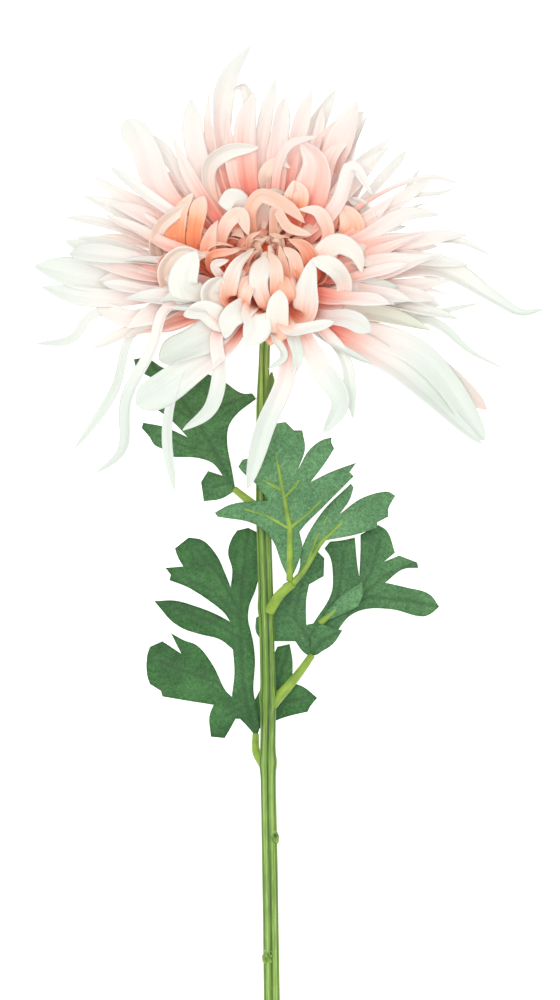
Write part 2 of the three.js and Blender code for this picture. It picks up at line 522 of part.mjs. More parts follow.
function bractStub() {
  const rings = STUB_RINGS.map(({ y, left, right, back, front }) => [
    vec(left, y, back), vec(right, y, back), vec(right, y, front), vec(left, y, front),
  ]);
  return loft(rings.map((ring) => ring.map((corner) => corner.add(STUB_BASE))));
}

function buildStem() {
  return mainBody(wasm.Manifold.union([stemTube(0), ...stemKnobs(0), bractStub()]));
}

// ---- Involucre: the green cup under the head ----
function headLathe(profile) {
  const points = profile.map(([radius, height]) => new THREE.Vector2(radius, height));
  const lathe = new THREE.LatheGeometry(points, HEAD_FACETS);
  const turn = new THREE.Quaternion().setFromUnitVectors(vec(0, 1, 0), headAxis);
  lathe.applyQuaternion(turn);
  lathe.translate(HEAD_CENTRE.x, HEAD_CENTRE.y, HEAD_CENTRE.z);
  return solidFromGeometry(lathe);
}

// The cup, or with `around` and `above` the space that it needs.
function cupBody(around, above) {
  return headLathe([
    [0, CUP_TOP - CUP_DEPTH - around],
    [CUP_NECK_RADIUS + around, CUP_TOP - CUP_DEPTH - around],
    [CUP_FLARE.radius * CUP_NECK_RADIUS + around, CUP_TOP - CUP_FLARE.depth * CUP_DEPTH],
    [CUP_BELLY.radius * CUP_RADIUS + around, CUP_TOP - CUP_BELLY.depth * CUP_DEPTH - around],
    [CUP_RADIUS + around, CUP_TOP - CUP_RIM_DEPTH * CUP_DEPTH],
    [CUP_RADIUS + around, CUP_TOP + above],
    [0, CUP_TOP + above],
  ]);
}

// A small pointed scale pressed against the cup, from its neck towards its rim.
function cupScale(angle, tipRadius, tipHeight) {
  const side = headDirection(angle + Math.PI / 2);
  const out = headDirection(angle);
  const ringAt = ({ radius, drop, half }) => {
    const centre = headPoint(radius * tipRadius, angle, tipHeight - drop);
    return [
      centre.clone().addScaledVector(side, -half).addScaledVector(out, -SCALE_DEPTH),
      centre.clone().addScaledVector(side, half).addScaledVector(out, -SCALE_DEPTH),
      centre.clone().addScaledVector(out, SCALE_DEPTH),
    ];
  };
  const tip = headPoint(tipRadius + SCALE_TIP_OUT, angle, tipHeight);
  return loft([ringAt(SCALE_BASE), ringAt(SCALE_MIDDLE)], tip);
}

function cupScales() {
  const scales = [];
  for (let i = 0; i < SCALES_PER_ROW; i++) {
    for (const row of SCALE_ROWS) {
      const angle = (2 * Math.PI * (i + row.shift)) / SCALES_PER_ROW;
      scales.push(cupScale(angle, row.radius * CUP_RADIUS, CUP_TOP - row.drop));
    }
  }
  return scales;
}

function buildInvolucre() {
  const cup = wasm.Manifold.union([cupBody(0, 0), ...cupScales()]);
  return mainBody(cup.subtract(stemTube(FIT_GAP)));
}

// ---- Petals ----
// A point on the laid-down part: what would sink below the surface lies on it.
function rested(point) {
  point.applyMatrix4(layDown);
  const above = point.z - REST_HEIGHT;
  point.z = REST_HEIGHT + 0.5 * (above + Math.sqrt(above * above + REST_SOFTNESS ** 2));
  return point;
}

// Share of the full width: slim root, widest past the middle, rounded tip.
function widthShare(t) {
  if (t < WIDEST_AT) {
    return ROOT_WIDTH + (1 - ROOT_WIDTH) * Math.sin((Math.PI / 2) * (t / WIDEST_AT));
  }
  const past = (t - WIDEST_AT) / (1 - WIDEST_AT);
  return (1 - past * past) ** TIP_ROUNDNESS;
}

// Where a petal's width runs: across it, turned by `facing` towards the front of the flower.
function widthDirections(centres, petal) {
  const front = vec(0, 0, 1).transformDirection(layDown);
  const side = headDirection(petal.angle + Math.PI / 2).transformDirection(layDown);
  const flat = side.clone();
  const directions = [];
  for (let i = 0; i < petal.steps; i++) {
    const along = centres[i + 1].clone().sub(centres[Math.max(i - 1, 0)]).normalize();
    side.addScaledVector(along, -side.dot(along)).normalize();
    const facing = along.clone().cross(front);
    if (facing.dot(flat) < 0) facing.negate();
    if (facing.length() > LEAST_FACING) flat.copy(facing);
    const across = side.clone().multiplyScalar(1 - petal.facing);
    across.addScaledVector(facing, petal.facing);
    across.addScaledVector(along, -across.dot(along)).normalize();
    across.applyAxisAngle(along, (petal.twist * i) / petal.steps);
    directions.push({ across, back: across.clone().cross(along) });
  }
  return directions;
}

// A blade with a flat face inwards and a keel along its back, which follows the petal's curve.
function petalSolid(petal) {
  const centres = [];
  for (let i = 0; i <= petal.steps; i++) {
    centres.push(rested(petal.curve.getPointAt(i / petal.steps)));
  }
  const rings = widthDirections(centres, petal).map(({ across, back }, i) => {
    const half = 0.5 * petal.width * widthShare(i / petal.steps);
    return [
      centres[i].clone().addScaledVector(across, -half),
      centres[i].clone().addScaledVector(across, half),
      centres[i].clone().addScaledVector(back, BLADE_KEEL),
    ];
  });
  return loft(rings, centres[petal.steps]);
}

function newPetal(kind, angle, width, twistDraw, curve) {
  return {
    angle, curve, steps: kind.steps, facing: kind.facing,
    width: kind.spread * width, twist: PETAL_TWIST * twistDraw,
  };
}

// Petals from a table of centre lines; rootOf gives where one with this first point starts.
function placedPetals(table, rootOf, firstNumber, kind) {
  return table.map((row, i) => {
    const first = vec(...row.line[0]);
    const angle = Math.atan2(first.dot(headUp), first.dot(headAcross));
    const places = row.line.map((place) => HEAD_CENTRE.clone().add(vec(...place)));
    const curve = new THREE.CatmullRomCurve3(
      [rootOf(first, angle), ...places], false, 'centripetal',
    );
    const petal = newPetal(kind, angle, row.width, swing(firstNumber + i, 1), curve);
    if (row.line.length > 3) petal.steps += 1;
    return petal;
  });
}

function crownClaws() {
  const rootOf = (first, angle) => {
    const radius = Math.hypot(first.dot(headUp), first.dot(headAcross));
    return headPoint(Math.min(ROOT_RADIUS, ROOT_SHARE * radius), angle, CLAW_ROOT_HEIGHT);
  };
  return placedPetals(CLAWS, rootOf, 3000, CLAW);
}

function rays() {
  const rootOf = (first, angle) => headPoint(ROOT_RADIUS, angle, THREE.MathUtils.clamp(
    RAY_ROOT_LOW + RAY_ROOT_RISE * first.dot(headAxis), RAY_ROOT_LOW, RAY_ROOT_HIGH,
  ));
  return placedPetals(RAYS, rootOf, 4000, RAY);
}

function fillClaws() {
  const petals = [];
  FILL_RINGS.forEach((ring, k) => {
    for (let i = 0; i < ring.count; i++) {
      const id = 100 * (k + 1) + i;
      const place = i + FILL_DRAWS.place * swing(id, 1) + RING_STAGGER * k;
      const angle = (2 * Math.PI * place) / ring.count;
      const reach = ring.reach * (1 + FILL_DRAWS.reach * swing(id, 2));
      const height = ring.height * (1 + FILL_DRAWS.height * swing(id, 3));
      const skew = FILL_DRAWS.skew * swing(id, 4);
      const width = ring.width * (1 + FILL_DRAWS.width * swing(id, 5));
      const curve = new THREE.CubicBezierCurve3(
        headPoint(FILL_ROOT.radius + FILL_ROOT.reach * ring.reach, angle,
          FILL_ROOT.height - FILL_ROOT.drop * ring.reach),
        headPoint(FILL_BELLY.reach * reach, angle, FILL_BELLY.height * height),
        headPoint(FILL_SHOULDER.reach * reach, angle + FILL_SHOULDER.skew * skew,
          FILL_SHOULDER.height * height),
        headPoint(ring.close * reach, angle + skew, FILL_TIP_HEIGHT * height),
      );
      petals.push(newPetal(FILL_CLAW, angle, width, swing(id, 6), curve));
    }
  });
  return petals;
}

function spreadingStraps() {
  const petals = [];
  STRAP_TIERS.forEach((tier, k) => {
    for (let i = 0; i < tier.count; i++) {
      const id = 1000 * (k + 1) + i;
      const place = i + STRAP_DRAWS.place * swing(id, 1) + TIER_STAGGER * k;
      const angle = (2 * Math.PI * place) / tier.count;
      const rear = Math.max(0, Math.sin(angle));
      const fore = Math.max(0, -Math.sin(angle));
      if (fore > FRONT_END) continue;
      const lift = rad(tier.lift * (1 - SIDE_DIP * (1 - rear)) - tier.rearDroop * Math.sqrt(rear)
        + tier.frontRise * fore + STRAP_DRAWS.lift * swing(id, 2));
      const length = tier.length * (1 - FRONT_LOSS * fore + REAR_GROWTH * rear
        + STRAP_DRAWS.length * swing(id, 3));
      const root = headPoint(ROOT_RADIUS, angle, tier.root);
      const sway = STRAP_DRAWS.sway * swing(id, 4);
      const side = headDirection(angle + Math.PI / 2);
      const tip = root.clone().addScaledVector(headDirection(angle, lift), length)
        .addScaledVector(side, sway);
      const curve = new THREE.CubicBezierCurve3(
        root,
        root.clone().addScaledVector(headDirection(angle), STRAP_START * length),
        root.clone().lerp(tip, STRAP_BEND.at).addScaledVector(headAxis, tier.arch)
          .addScaledVector(side, -STRAP_BEND.sway * sway),
        tip,
      );
      const width = tier.width * (1 + STRAP_DRAWS.width * swing(id, 5));
      petals.push(newPetal(STRAP, angle, width, swing(id, 6), curve));
    }
  });
  return petals;
}

function bloomCore() {
  return headLathe(CORE_PROFILE);
}

// The surface that the flower lies on: what would reach into it becomes a flat spot.
function belowSurface() {
  const { side, depth, y } = SURFACE_BLOCK;
  const slab = new THREE.BoxGeometry(side, side, depth);
  slab.translate(0, y, -0.5 * depth);
  return solidFromGeometry(slab);
}

function laidDown(solid) {
  return solid.transform(layDown.elements);
}

function buildBloom() {
  const petals = [...crownClaws(), ...fillClaws(), ...spreadingStraps(), ...rays()];
  const head = wasm.Manifold.union([laidDown(bloomCore()), ...petals.map(petalSolid)]);
  const clear = wasm.Manifold.union([
    laidDown(cupBody(SCALE_ROOM, FIT_GAP)), laidDown(stemTube(FIT_GAP)), belowSurface(),
  ]);
  return mainBody(head.subtract(clear));
}

// ---- Leaves ----
function distanceToPath(point, path) {
  let best = Infinity;
  for (let i = 0; i + 1 < path.length; i++) {
    const line = new THREE.Line3(vec(...path[i], 0), vec(...path[i + 1], 0));
    const nearest = line.closestPointToPoint(point, true, vec(0, 0, 0));
    best = Math.min(best, nearest.distanceTo(point));
  }
  return best;
}

// Height of a blade's upper face over the stem plane.
function bladeHeight(blade, x, y) {
  const [baseX, baseY] = blade.rib[0];
  const [tipX, tipY] = blade.tip;
  const share = Math.hypot(x - baseX, y - baseY) / Math.hypot(tipX - baseX, tipY - baseY);
  const aside = distanceToPath(vec(x, y, 0), [...blade.rib, blade.tip]);
  return blade.height + blade.slope[0] * (x - baseX) + blade.slope[1] * (y - baseY)
    + blade.curl * share * share + blade.fold * aside;
}

function bladeSolid(blade) {
  const middle = [...blade.rib, blade.tip];
  const halves = [
    [blade.rib[0], ...blade.left, blade.tip, ...blade.rib.slice(1).reverse()],
    [blade.rib[0], ...blade.right, blade.tip, ...blade.rib.slice(1).reverse()],
  ];
  const corners = [];
  const index = new Map();
  const number = ([x, y]) => {
    const key = `${x},${y}`;
    if (!index.has(key)) {
      index.set(key, corners.length);
      corners.push([x, y]);
    }
    return index.get(key);
  };
  const top = [];
  for (const half of halves) {
    const contour = half.map(([x, y]) => new THREE.Vector2(x, y));
    if (THREE.ShapeUtils.isClockWise(contour)) {
      contour.reverse();
      half.reverse();
    }
    for (const face of THREE.ShapeUtils.triangulateShape(contour, [])) {
      top.push(face.map((corner) => number(half[corner])));
    }
  }
  const open = new Set(top.flatMap(([a, b, c]) => [`${a}:${b}`, `${b}:${c}`, `${c}:${a}`]));
  const count = corners.length;
  const triangles = [...top, ...top.map(([a, b, c]) => [c + count, b + count, a + count])];
  for (const edge of open) {
    const [a, b] = edge.split(':').map(Number);
    if (!open.has(`${b}:${a}`)) triangles.push([b, a, a + count], [b, a + count, b + count]);
  }
  const upper = corners.map(([x, y]) => vec(x, y, bladeHeight(blade, x, y)));
  const lower = upper.map((corner) => corner.clone().setZ(corner.z - LEAF_THICKNESS));
  const positions = [...upper, ...lower];
  return [solidFrom(positions, facingOut(positions, triangles)), midrib(blade, middle)];
}

function midrib(blade, middle) {
  const path = middle.slice(0, -1).map(([x, y]) => vec(
    x, y, bladeHeight(blade, x, y) - 0.5 * LEAF_THICKNESS,
  ));
  if (path.length < 3) path.push(vec(...blade.tip, bladeHeight(blade, ...blade.tip)));
  const radiusAt = (share) => THREE.MathUtils.lerp(MIDRIB_RADIUS.base, MIDRIB_RADIUS.tip, share);
  return tube(path, 2 * path.length - 2, radiusAt, MIDRIB_SIDES);
}

function buildLeaf(leaf) {
  const [thick, thin] = leaf.petioleRadius;
  const radiusAt = (share) => THREE.MathUtils.lerp(thick, thin, share);
  const petiole = tube(leaf.petiole, PETIOLE_STEPS, radiusAt, PETIOLE_SIDES);
  const whole = wasm.Manifold.union([petiole, ...leaf.blades.flatMap(bladeSolid)]);
  const stemSpace = wasm.Manifold.union([stemTube(FIT_GAP), ...stemKnobs(FIT_GAP)]);
  return mainBody(whole.subtract(stemSpace));
}

// ---- The flower ----
function meshFrom(name, solid, look) {
  const geometry = geometryOf(solid);
  geometry.computeVertexNormals();
  const mesh = new THREE.Mesh(geometry, new THREE.MeshStandardMaterial(look));
  mesh.name = name;
  return mesh;
}

const flower = new THREE.Group();
flower.add(meshFrom('stem', laidDown(buildStem()), COLOURS.stem));
flower.add(meshFrom('involucre', laidDown(buildInvolucre()), COLOURS.cup));
flower.add(meshFrom('bloom', buildBloom(), COLOURS.petal));
for (const [name, leaf] of Object.entries(LEAVES)) {
  flower.add(meshFrom(name, laidDown(buildLeaf(leaf)), COLOURS.leaf));
}

export default flower;
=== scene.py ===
"""Spider chrysanthemum: the fine petals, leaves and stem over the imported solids.

Everything is drawn in the stem plane, in millimetres: +X to the flower's right, +Y along the
stem towards the head, +Z out of its front. LAY_DOWN then lays that plane on the surface, and
a mesh is written in metres.
"""
from math import atan2, cos, exp, hypot, pi, radians, sin, sqrt

import bpy
from mathutils import Matrix, Quaternion, Vector
from mathutils.geometry import delaunay_2d_cdt


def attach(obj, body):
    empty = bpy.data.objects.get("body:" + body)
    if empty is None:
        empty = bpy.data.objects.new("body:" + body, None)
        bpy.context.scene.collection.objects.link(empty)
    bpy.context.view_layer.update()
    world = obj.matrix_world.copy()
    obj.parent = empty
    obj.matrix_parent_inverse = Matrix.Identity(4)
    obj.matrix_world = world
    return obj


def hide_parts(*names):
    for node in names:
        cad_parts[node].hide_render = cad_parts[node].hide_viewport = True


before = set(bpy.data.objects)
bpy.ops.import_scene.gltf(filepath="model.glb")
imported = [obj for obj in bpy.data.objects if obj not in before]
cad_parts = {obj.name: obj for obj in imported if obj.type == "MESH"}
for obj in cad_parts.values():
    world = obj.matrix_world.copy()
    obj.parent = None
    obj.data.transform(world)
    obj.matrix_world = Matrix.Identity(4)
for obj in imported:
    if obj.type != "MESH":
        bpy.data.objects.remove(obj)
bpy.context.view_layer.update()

# ---- Shared sizes (mm, degrees), the same as in the solids ----
MM = 0.001
STEM_SLOPE = 6.5
ORIGIN = Vector((-3.3, 41.3, 31.4))
HEAD_CENTRE = Vector((-4.7, 75, 6))
HEAD_TILT = 45
STEM_RADIUS_CUT = 3.1
STEM_RADIUS_NECK = 2.5
STEM_PATH = [
    (-1.8, -250, 0), (-2.9, -180, 0), (-3.6, -134, 0), (-4.3, -96, 0), (-4.3, -72, 0),
    (-5, -38, 0), (-6, 0, -0.4), (-6, 36, -2.2), (-5.7, 50, -3.8), (-5.3, 59, -3), (-5, 66, 0),
]
STEM_KNOBS = [
    ((-1.3, -121.5, 0.6), 2.3), ((-5.2, -164.5, 0.6), 2.4), ((-4.2, -94.5, -0.3), 3.2),
    ((-3.9, -71.5, 0), 3.2), ((-4.6, -38.5, 0.6), 3.1), ((-6, -5, -0.4), 2.9),
]
REST_HEIGHT = 0.2
REST_SOFTNESS = 2

LAY_DOWN = Matrix.Translation(ORIGIN) @ Matrix.Rotation(radians(STEM_SLOPE), 4, "X")
TILT = radians(HEAD_TILT)
HEAD_ACROSS = Vector((1, 0, 0))
HEAD_UP = Vector((0, sin(TILT), -cos(TILT)))
HEAD_AXIS = Vector((0, cos(TILT), sin(TILT)))

ROOT_RADIUS = 13
ROOT_SHARE = 0.55
CLAW_ROOT_HEIGHT = 7
RAY_ROOT_LOW = 3
RAY_ROOT_HIGH = 11
RAY_ROOT_RISE = 0.35
PETAL_TWIST = 0.45
CORE_PROFILE = [(0, -0.7), (10, -0.7), (16, 3), (18.5, 7), (16, 12), (8, 15), (0, 15.5)]

# Petals placed one by one: the points of the centre line, from the head's centre in the
# stem plane, the full width, and what the petal has besides the draws of its kind. face
# is how far its inner side is orange, paling how far it pales to the tip, slim a share of
# its width, blunt how full its tip is, and flush and yellow a tint.
CLAWS = [
    # Tongues and claws of the front, from left to right.
    ([(-32, -3, 13), (-36.5, 7, 17), (-30.5, 13.5, 20.5), (-22, 12, 21.5)], 5.5, {"face": 0.8}),
    ([(-22.5, -6, 22), (-30, 1.5, 26), (-25, 13.5, 28)], 9.5, {"paling": 0.4, "blunt": 2}),
    ([(-16, -11, 28), (-22.5, -8, 30.5), (-29.5, -9.5, 32)], 6.5, {"paling": 0.2}),
    ([(-15, -9.5, 25), (-20, -2, 27.5), (-16, 4, 29.5)], 8, {"paling": 0.2, "blunt": 1}),
    ([(-7.5, -6.5, 27.5), (-12.5, -11, 30.5), (-15, -17.5, 27.5)], 7.5, {"paling": 0.6}),
    ([(-14, -3.5, 26), (-11, 8, 26), (-4.5, 14.5, 22.5)], 6, {"paling": 0.6, "slim": 0.85}),
    ([(-5, -8.5, 28.5), (-3.5, -13.5, 30.5), (-7.5, -20.5, 29)], 8.5, {"paling": 0.9}),
    ([(-0.5, -6, 25.5), (-3, 3.5, 27.5), (-0.5, 12, 23)], 8, {"paling": 0.45, "slim": 0.75}),
    ([(3, -16.5, 25), (4, -9.5, 29), (4.5, -0.5, 31.5)], 6,
     {"paling": 0.6, "blunt": 3, "slim": 1.1}),
    ([(3, -3, 25.5), (3.5, 6, 26.5), (1, 13.5, 20.5)], 4),
    ([(8.5, -3, 22.5), (6, 8, 23), (4.5, 16, 19.5)], 3),
    ([(9, -14.5, 31.5), (15.5, -13.5, 33.5), (24, -12, 32)], 5.5, {"paling": 0.4}),
    ([(12.5, -9.5, 20.5), (14.5, 0.5, 26), (16.5, 11, 29)], 8, {"paling": 0.4}),
    ([(24, -6.5, 16.5), (27.5, 1.5, 22.5), (23.5, 7.5, 29), (16, 10.5, 29)], 5.5, {"paling": 0.4}),
    # Right.
    ([(18.5, 11, 17.5), (25.5, 16, 18), (31.5, 13, 18), (34, 6, 17)], 6.5, {"face": 0.1}),
    ([(34, 11, 0.5), (37, 21.5, 1), (34, 30, 1), (28.5, 33.5, 2)], 6.5, {"face": 0.1}),
    ([(28, 13.5, 1), (30.5, 23, 5), (25.5, 31.5, 5.5)], 8),
    ([(20, 18.5, 1), (22, 29, 5), (20.5, 35.5, 3)], 6.5, {"face": 0.8}),
    ([(16, 11, 9), (22, 20, 8), (18.5, 28, 10), (11, 29, 10.5)], 4.5, {"face": 0.3}),
    ([(16, 7, 15.5), (13.5, 14.5, 18), (7.5, 18, 19)], 5, {"face": 0.5}),
    ([(10.5, 2.5, 20), (10, 11, 21.5), (6, 15, 21.5)], 4.5, {"face": 0.5}),
    # Back, which show their inner faces.
    ([(8.5, 24, 2), (11, 33, 8), (9.5, 39.5, 7)], 8.5),
    ([(0.5, 33, -3), (-0.5, 42, 3), (4, 46, 4), (8.5, 44, 4)], 4.5, {"face": 0.6}),
    ([(2, 18.5, 6.5), (3, 29, 10.5), (7.5, 22.5, 14.5), (16, 19.5, 16)], 3.5, {"face": 0.3}),
    ([(-2, 24, 1.5), (0.5, 34, 8.5), (7.5, 35.5, 2.5)], 5, {"face": 0.2}),
    ([(-4.5, 17, 5.5), (-6, 29, 11), (-2, 34, 10), (7, 30, 11), (13.5, 24, 13)], 4.5,
     {"face": 0.35}),
    ([(-5.5, 29.5, -9.5), (-4.5, 40.5, -9), (-5.5, 49.5, -18)], 4.5),
    ([(-9.5, 27.5, -8), (-11, 40.5, -9), (-9.5, 48, -14.5)], 5),
    ([(-19, 31.5, 0), (-20.5, 44.5, 3), (-14, 50, 5), (-3, 51.5, 4)], 5, {"face": 0.1}),
    # Left.
    ([(-10.5, 21.5, 1), (-11, 31.5, 8), (-17.5, 31.5, 6.5)], 8, {"face": 0.0}),
    ([(-16, 15, 7.5), (-14, 24.5, 13.5), (-9.5, 27.5, 12), (-6.5, 19.5, 14.5)], 4.5,
     {"face": 0.35}),
    ([(-22.5, 31.5, -14.5), (-27.5, 40.5, -15), (-38.5, 42, -16.5)], 4.5, {"face": 0.5}),
    ([(-27.5, 29.5, -9.5), (-31.5, 36.5, -8.5), (-38.5, 37.5, -9)], 5, {"face": 0.5}),
    ([(-21, 12, 10.5), (-20, 19.5, 14.5), (-17.5, 25, 13)], 5, {"face": 0.4}),
    ([(-25.5, 15, 4.5), (-25, 27.5, 9), (-22.5, 34, 4.5)], 5.5),
    ([(-32, 14.5, 2.5), (-31.5, 27.5, 6), (-26.5, 35, 4.5)], 6.5),
    ([(-38.5, 11, 3.5), (-38.5, 21.5, 6.5), (-27.5, 31.5, 5.5)], 5, {"face": 0.4}),
]

RAYS = [
    # Top, from left to right.
    ([(-38.5, 36.5, -2), (-44, 51, -8), (-51, 63.5, -14)], 9, {"blunt": 5}),
    ([(-29.5, 36.5, -4), (-36.5, 49.5, -12), (-44.5, 58.5, -18)], 5),
    ([(-27.5, 40.5, 2), (-31.5, 49.5, -3), (-34, 55.5, -6)], 4.5),
    ([(-22.5, 42, -2), (-26.5, 56.5, -9), (-27.5, 70, -14)], 6.5),
    ([(-18.5, 47.5, -8), (-21.5, 62, -16), (-21, 72.5, -20)], 4),
    ([(-15, 47.5, -6), (-16.5, 67.5, -14), (-13.5, 79, -19), (-6.5, 90.5, -22)], 7),
    ([(-12.5, 44, 4), (-13.5, 56.5, -1), (-14.5, 66.5, -4)], 3.5),
    ([(-9.5, 51, -8), (-6.5, 67.5, -14), (-8.5, 74.5, -14), (-12.5, 73.5, -12)], 4.5, {"blunt": 2}),
    ([(-7.5, 45.5, 2), (-7.5, 60, -2), (-4.5, 72, -6)], 7.5),
    ([(-2, 45.5, -4), (-0.5, 63.5, -10), (3, 77.5, -15)], 5),
    ([(3.5, 45.5, 0), (4.5, 58.5, -4), (6, 70, -8)], 6.5),
    ([(9, 47.5, -4), (12.5, 62, -10), (16, 73.5, -15)], 6),
    ([(15, 45.5, -8), (18.5, 58.5, -14), (20, 67.5, -19)], 4),
    ([(4.5, 45.5, 6), (8.5, 52.5, 7), (19, 55.5, 4)], 3),
    ([(16, 35, 6), (17, 45.5, 5), (13, 53.5, 2)], 10.5),
    ([(18.5, 34, 2), (24, 51, -5), (35.5, 65, -8)], 6),
    ([(25.5, 31.5, 8), (30.5, 44.5, 6), (38, 34, 8)], 5.5),
    # Right, from the top down.
    ([(26.5, 35, 2), (35.5, 44.5, -3), (44.5, 52, -8)], 6.5),
    ([(33.5, 31.5, -2), (43.5, 43, -9), (50.5, 51.5, -13)], 4),
    ([(37, 24, -4), (48.5, 35, -12), (54.5, 46.5, -18)], 3),
    ([(35.5, 31.5, 2), (49.5, 39, -4), (60.5, 41, -7), (70, 38, -8)], 3.5),
    ([(35.5, 26, 2), (51.5, 34, -3), (62.5, 35.5, -5), (69.5, 38, -6)], 3),
    ([(33.5, 23, 4), (46, 31.5, 0), (58.5, 40.5, -6)], 5),
    ([(33.5, 18.5, 6), (49.5, 27.5, 2), (62.5, 28.5, 0)], 5),
    ([(35.5, 16, 6), (55, 18.5, 4), (73, 21, 0)], 5),
    ([(37, 11, 4), (57, 18, 2), (70, 17.5, 0), (80.5, 12, -2)], 3.5),
    ([(33.5, 11, 8), (51.5, 12, 6), (72.5, 9, 3)], 5),
    ([(30, 4.5, 6), (60.5, 8.5, 4), (80.5, -2.5, 5), (91, -8.5, 6), (99.5, -7.5, 6)], 6.5),
    ([(30, 2.5, 8), (48, 2, 8), (65.5, 3.5, 6)], 4.5),
    ([(21, -3.5, 14), (34, -0.5, 16), (46.5, 1, 14)], 9),
    ([(28, -4.5, 10), (48, -3, 9), (59, -8.5, 8)], 4.5),
    ([(30, -6, 8), (57, -8.5, 8), (67.5, -6.5, 7), (77, -4.5, 6)], 3),
    ([(19, -7, 14), (39, -8.5, 13), (59, -13.5, 10)], 7.5, {"yellow": 0.3}),
    ([(28, -9.5, 8), (58.5, -11, 7), (73, -21.5, 5), (85, -26.5, 4)], 3.5),
    ([(28, -11, 12), (55, -23, 10), (79, -43, 6)], 5.5, {"flush": 0.35, "blunt": 4, "slim": 1.3}),
    ([(22.5, -12, 15), (53.5, -22.5, 13), (78, -53.5, 8)], 8.5, {"blunt": 2, "slim": 1.1}),
    ([(21, -13.5, 18), (49, -29.5, 16), (76, -56, 12)], 7.5, {"blunt": 2, "slim": 1.4}),
    # Hanging in front of the stem and the upper leaf, from right to left.
    ([(17.5, -14.5, 20), (27, -21.5, 22), (37, -27.5, 22)], 5),
    ([(18.5, -13.5, 20), (27.5, -24.5, 22), (31, -46.5, 20)], 4),
    ([(12.5, -15.5, 22), (19, -27.5, 25), (26, -39.5, 24), (20, -51, 22)], 7),
    ([(9, -16.5, 24), (11, -24, 27), (8.5, -33, 26)], 4),
    ([(7.5, -18, 24), (6.5, -31.5, 26), (-1, -49.5, 22), (-7, -70.5, 18)], 8, {"slim": 0.8}),
    ([(3, -18, 26), (6, -24, 28), (0.5, -28.5, 28)], 3.5),
    ([(-17.5, -16.5, 26), (-16.5, -30, 28), (-20, -42, 26), (-30, -50, 22)], 5),
    ([(-26, -21.5, 22), (-34, -39.5, 22), (-35.5, -53.5, 19), (-32.5, -71.5, 16)], 3.5),
    ([(-14, -18, 24), (-25, -26.5, 26), (-36.5, -35.5, 22), (-46, -40.5, 18)], 9,
     {"blunt": 1, "slim": 1.15}),
    ([(-17, -14.5, 22), (-28.5, -20, 24), (-38.5, -25, 20)], 8.5, {"blunt": 1, "slim": 1.4}),
    ([(-24, -7, 20), (-35.5, -7, 24), (-40.5, -21, 24),
      (-49.5, -39, 18), (-52, -57, 12), (-62.5, -66, 8)], 5.5),
    ([(-33, -13.5, 14), (-47.5, -15.5, 14), (-54.5, -35.5, 10), (-68, -57, 6)], 3),
    # Left, from the bottom up.
    ([(-33, -11, 14), (-49.5, -14.5, 12), (-63, -20, 8)], 5.5, {"paling": 1.0, "slim": 1.4}),
    ([(-38.5, -9.5, 8), (-62, -8.5, 8), (-70, -17.5, 6), (-83.5, -19, 5)], 3),
    ([(-31.5, -6, 12), (-49.5, -10, 12), (-61.5, -5, 8)], 5.5, {"paling": 1.0, "slim": 1.2}),
    ([(-35, -1.5, 10), (-60, -3, 8), (-81, 2, 3)], 5.5),
    ([(-36.5, 3, 8), (-60, 4.5, 5), (-83.5, 9.5, 0)], 9.5),
    ([(-38.5, 8.5, 10), (-51, 12, 9), (-65.5, 11, 6)], 6),
    ([(-36.5, 11, 4), (-56.5, 13, 2), (-72.5, 18, -2)], 6),
    ([(-35.5, 16, 8), (-46.5, 21.5, 6), (-58, 26.5, 3)], 6),
    ([(-38.5, 20.5, 2), (-53.5, 29.5, -3), (-66, 35.5, -7)], 7),
    ([(-42, 27.5, -2), (-53.5, 35, -7), (-63.5, 42, -11)], 6.5),
    ([(-40.5, 33, 2), (-48.5, 39, -2), (-56, 44.5, -5)], 4.5),
]

# Small curls of the eye, with their points as above.
EYE_CURLS = [
    ([(-20, 8, 14.5), (-20, 12, 17.5), (-9.5, 14, 20)], 3),
    ([(-16, 4.5, 21), (-18.5, 8.5, 22.5), (-13.5, 10.5, 22)], 3),
    ([(-6, 13, 12.5), (-6, 18.5, 15), (-2, 21, 14.5)], 2.5),
    ([(-2, 11, 14.5), (-3, 16.5, 16), (0.5, 18.5, 16.5)], 2.5),
    ([(4.5, 12, 13), (4.5, 18.5, 15), (1, 20, 15)], 2.5),
]

# Rings of claws that fill the crown: how many, how far round to the front they go (1 is all
# round), reach, height, how far the tips close in, and width. Those of MORE_RINGS and of
# MORE_TIERS are thinner and have no solids of their own.
FILL_RINGS = [
    (8, 1, 11, 17, 0.35, 6), (11, 1, 21, 17, 0.6, 8), (9, 0.6, 32, 13, 0.85, 9),
]
MORE_RINGS = [
    (7, 1, 5, 21, 0.4, 3.5), (10, 1, 9, 20, 0.4, 4), (13, 1, 15, 18, 0.6, 5),
    (14, 0.5, 24, 17, 0.75, 6.5), (18, 0.5, 33, 13, 0.95, 7.5),
]

# Tiers of straps round the crown: how many, how far round to the front they go, the degrees
# of lift, of droop at the rear and of rise at the front, length, width, arch and root height.
STRAP_TIERS = [
    (10, 0.8, 32, 0, 6, 50, 8.5, 2, 9), (11, 0.8, 16, 0, 16, 56, 8, 3, 6),
    (16, 0.8, -2, 26, 26, 60, 7.5, 5, 3),
]
MORE_TIERS = [
    (20, 0.45, 26, 0, 8, 44, 6, 2, 8), (26, 0.45, 8, 8, 20, 50, 6, 3, 5),
    (28, 0.35, -4, 22, 28, 54, 5.5, 4, 3),
]

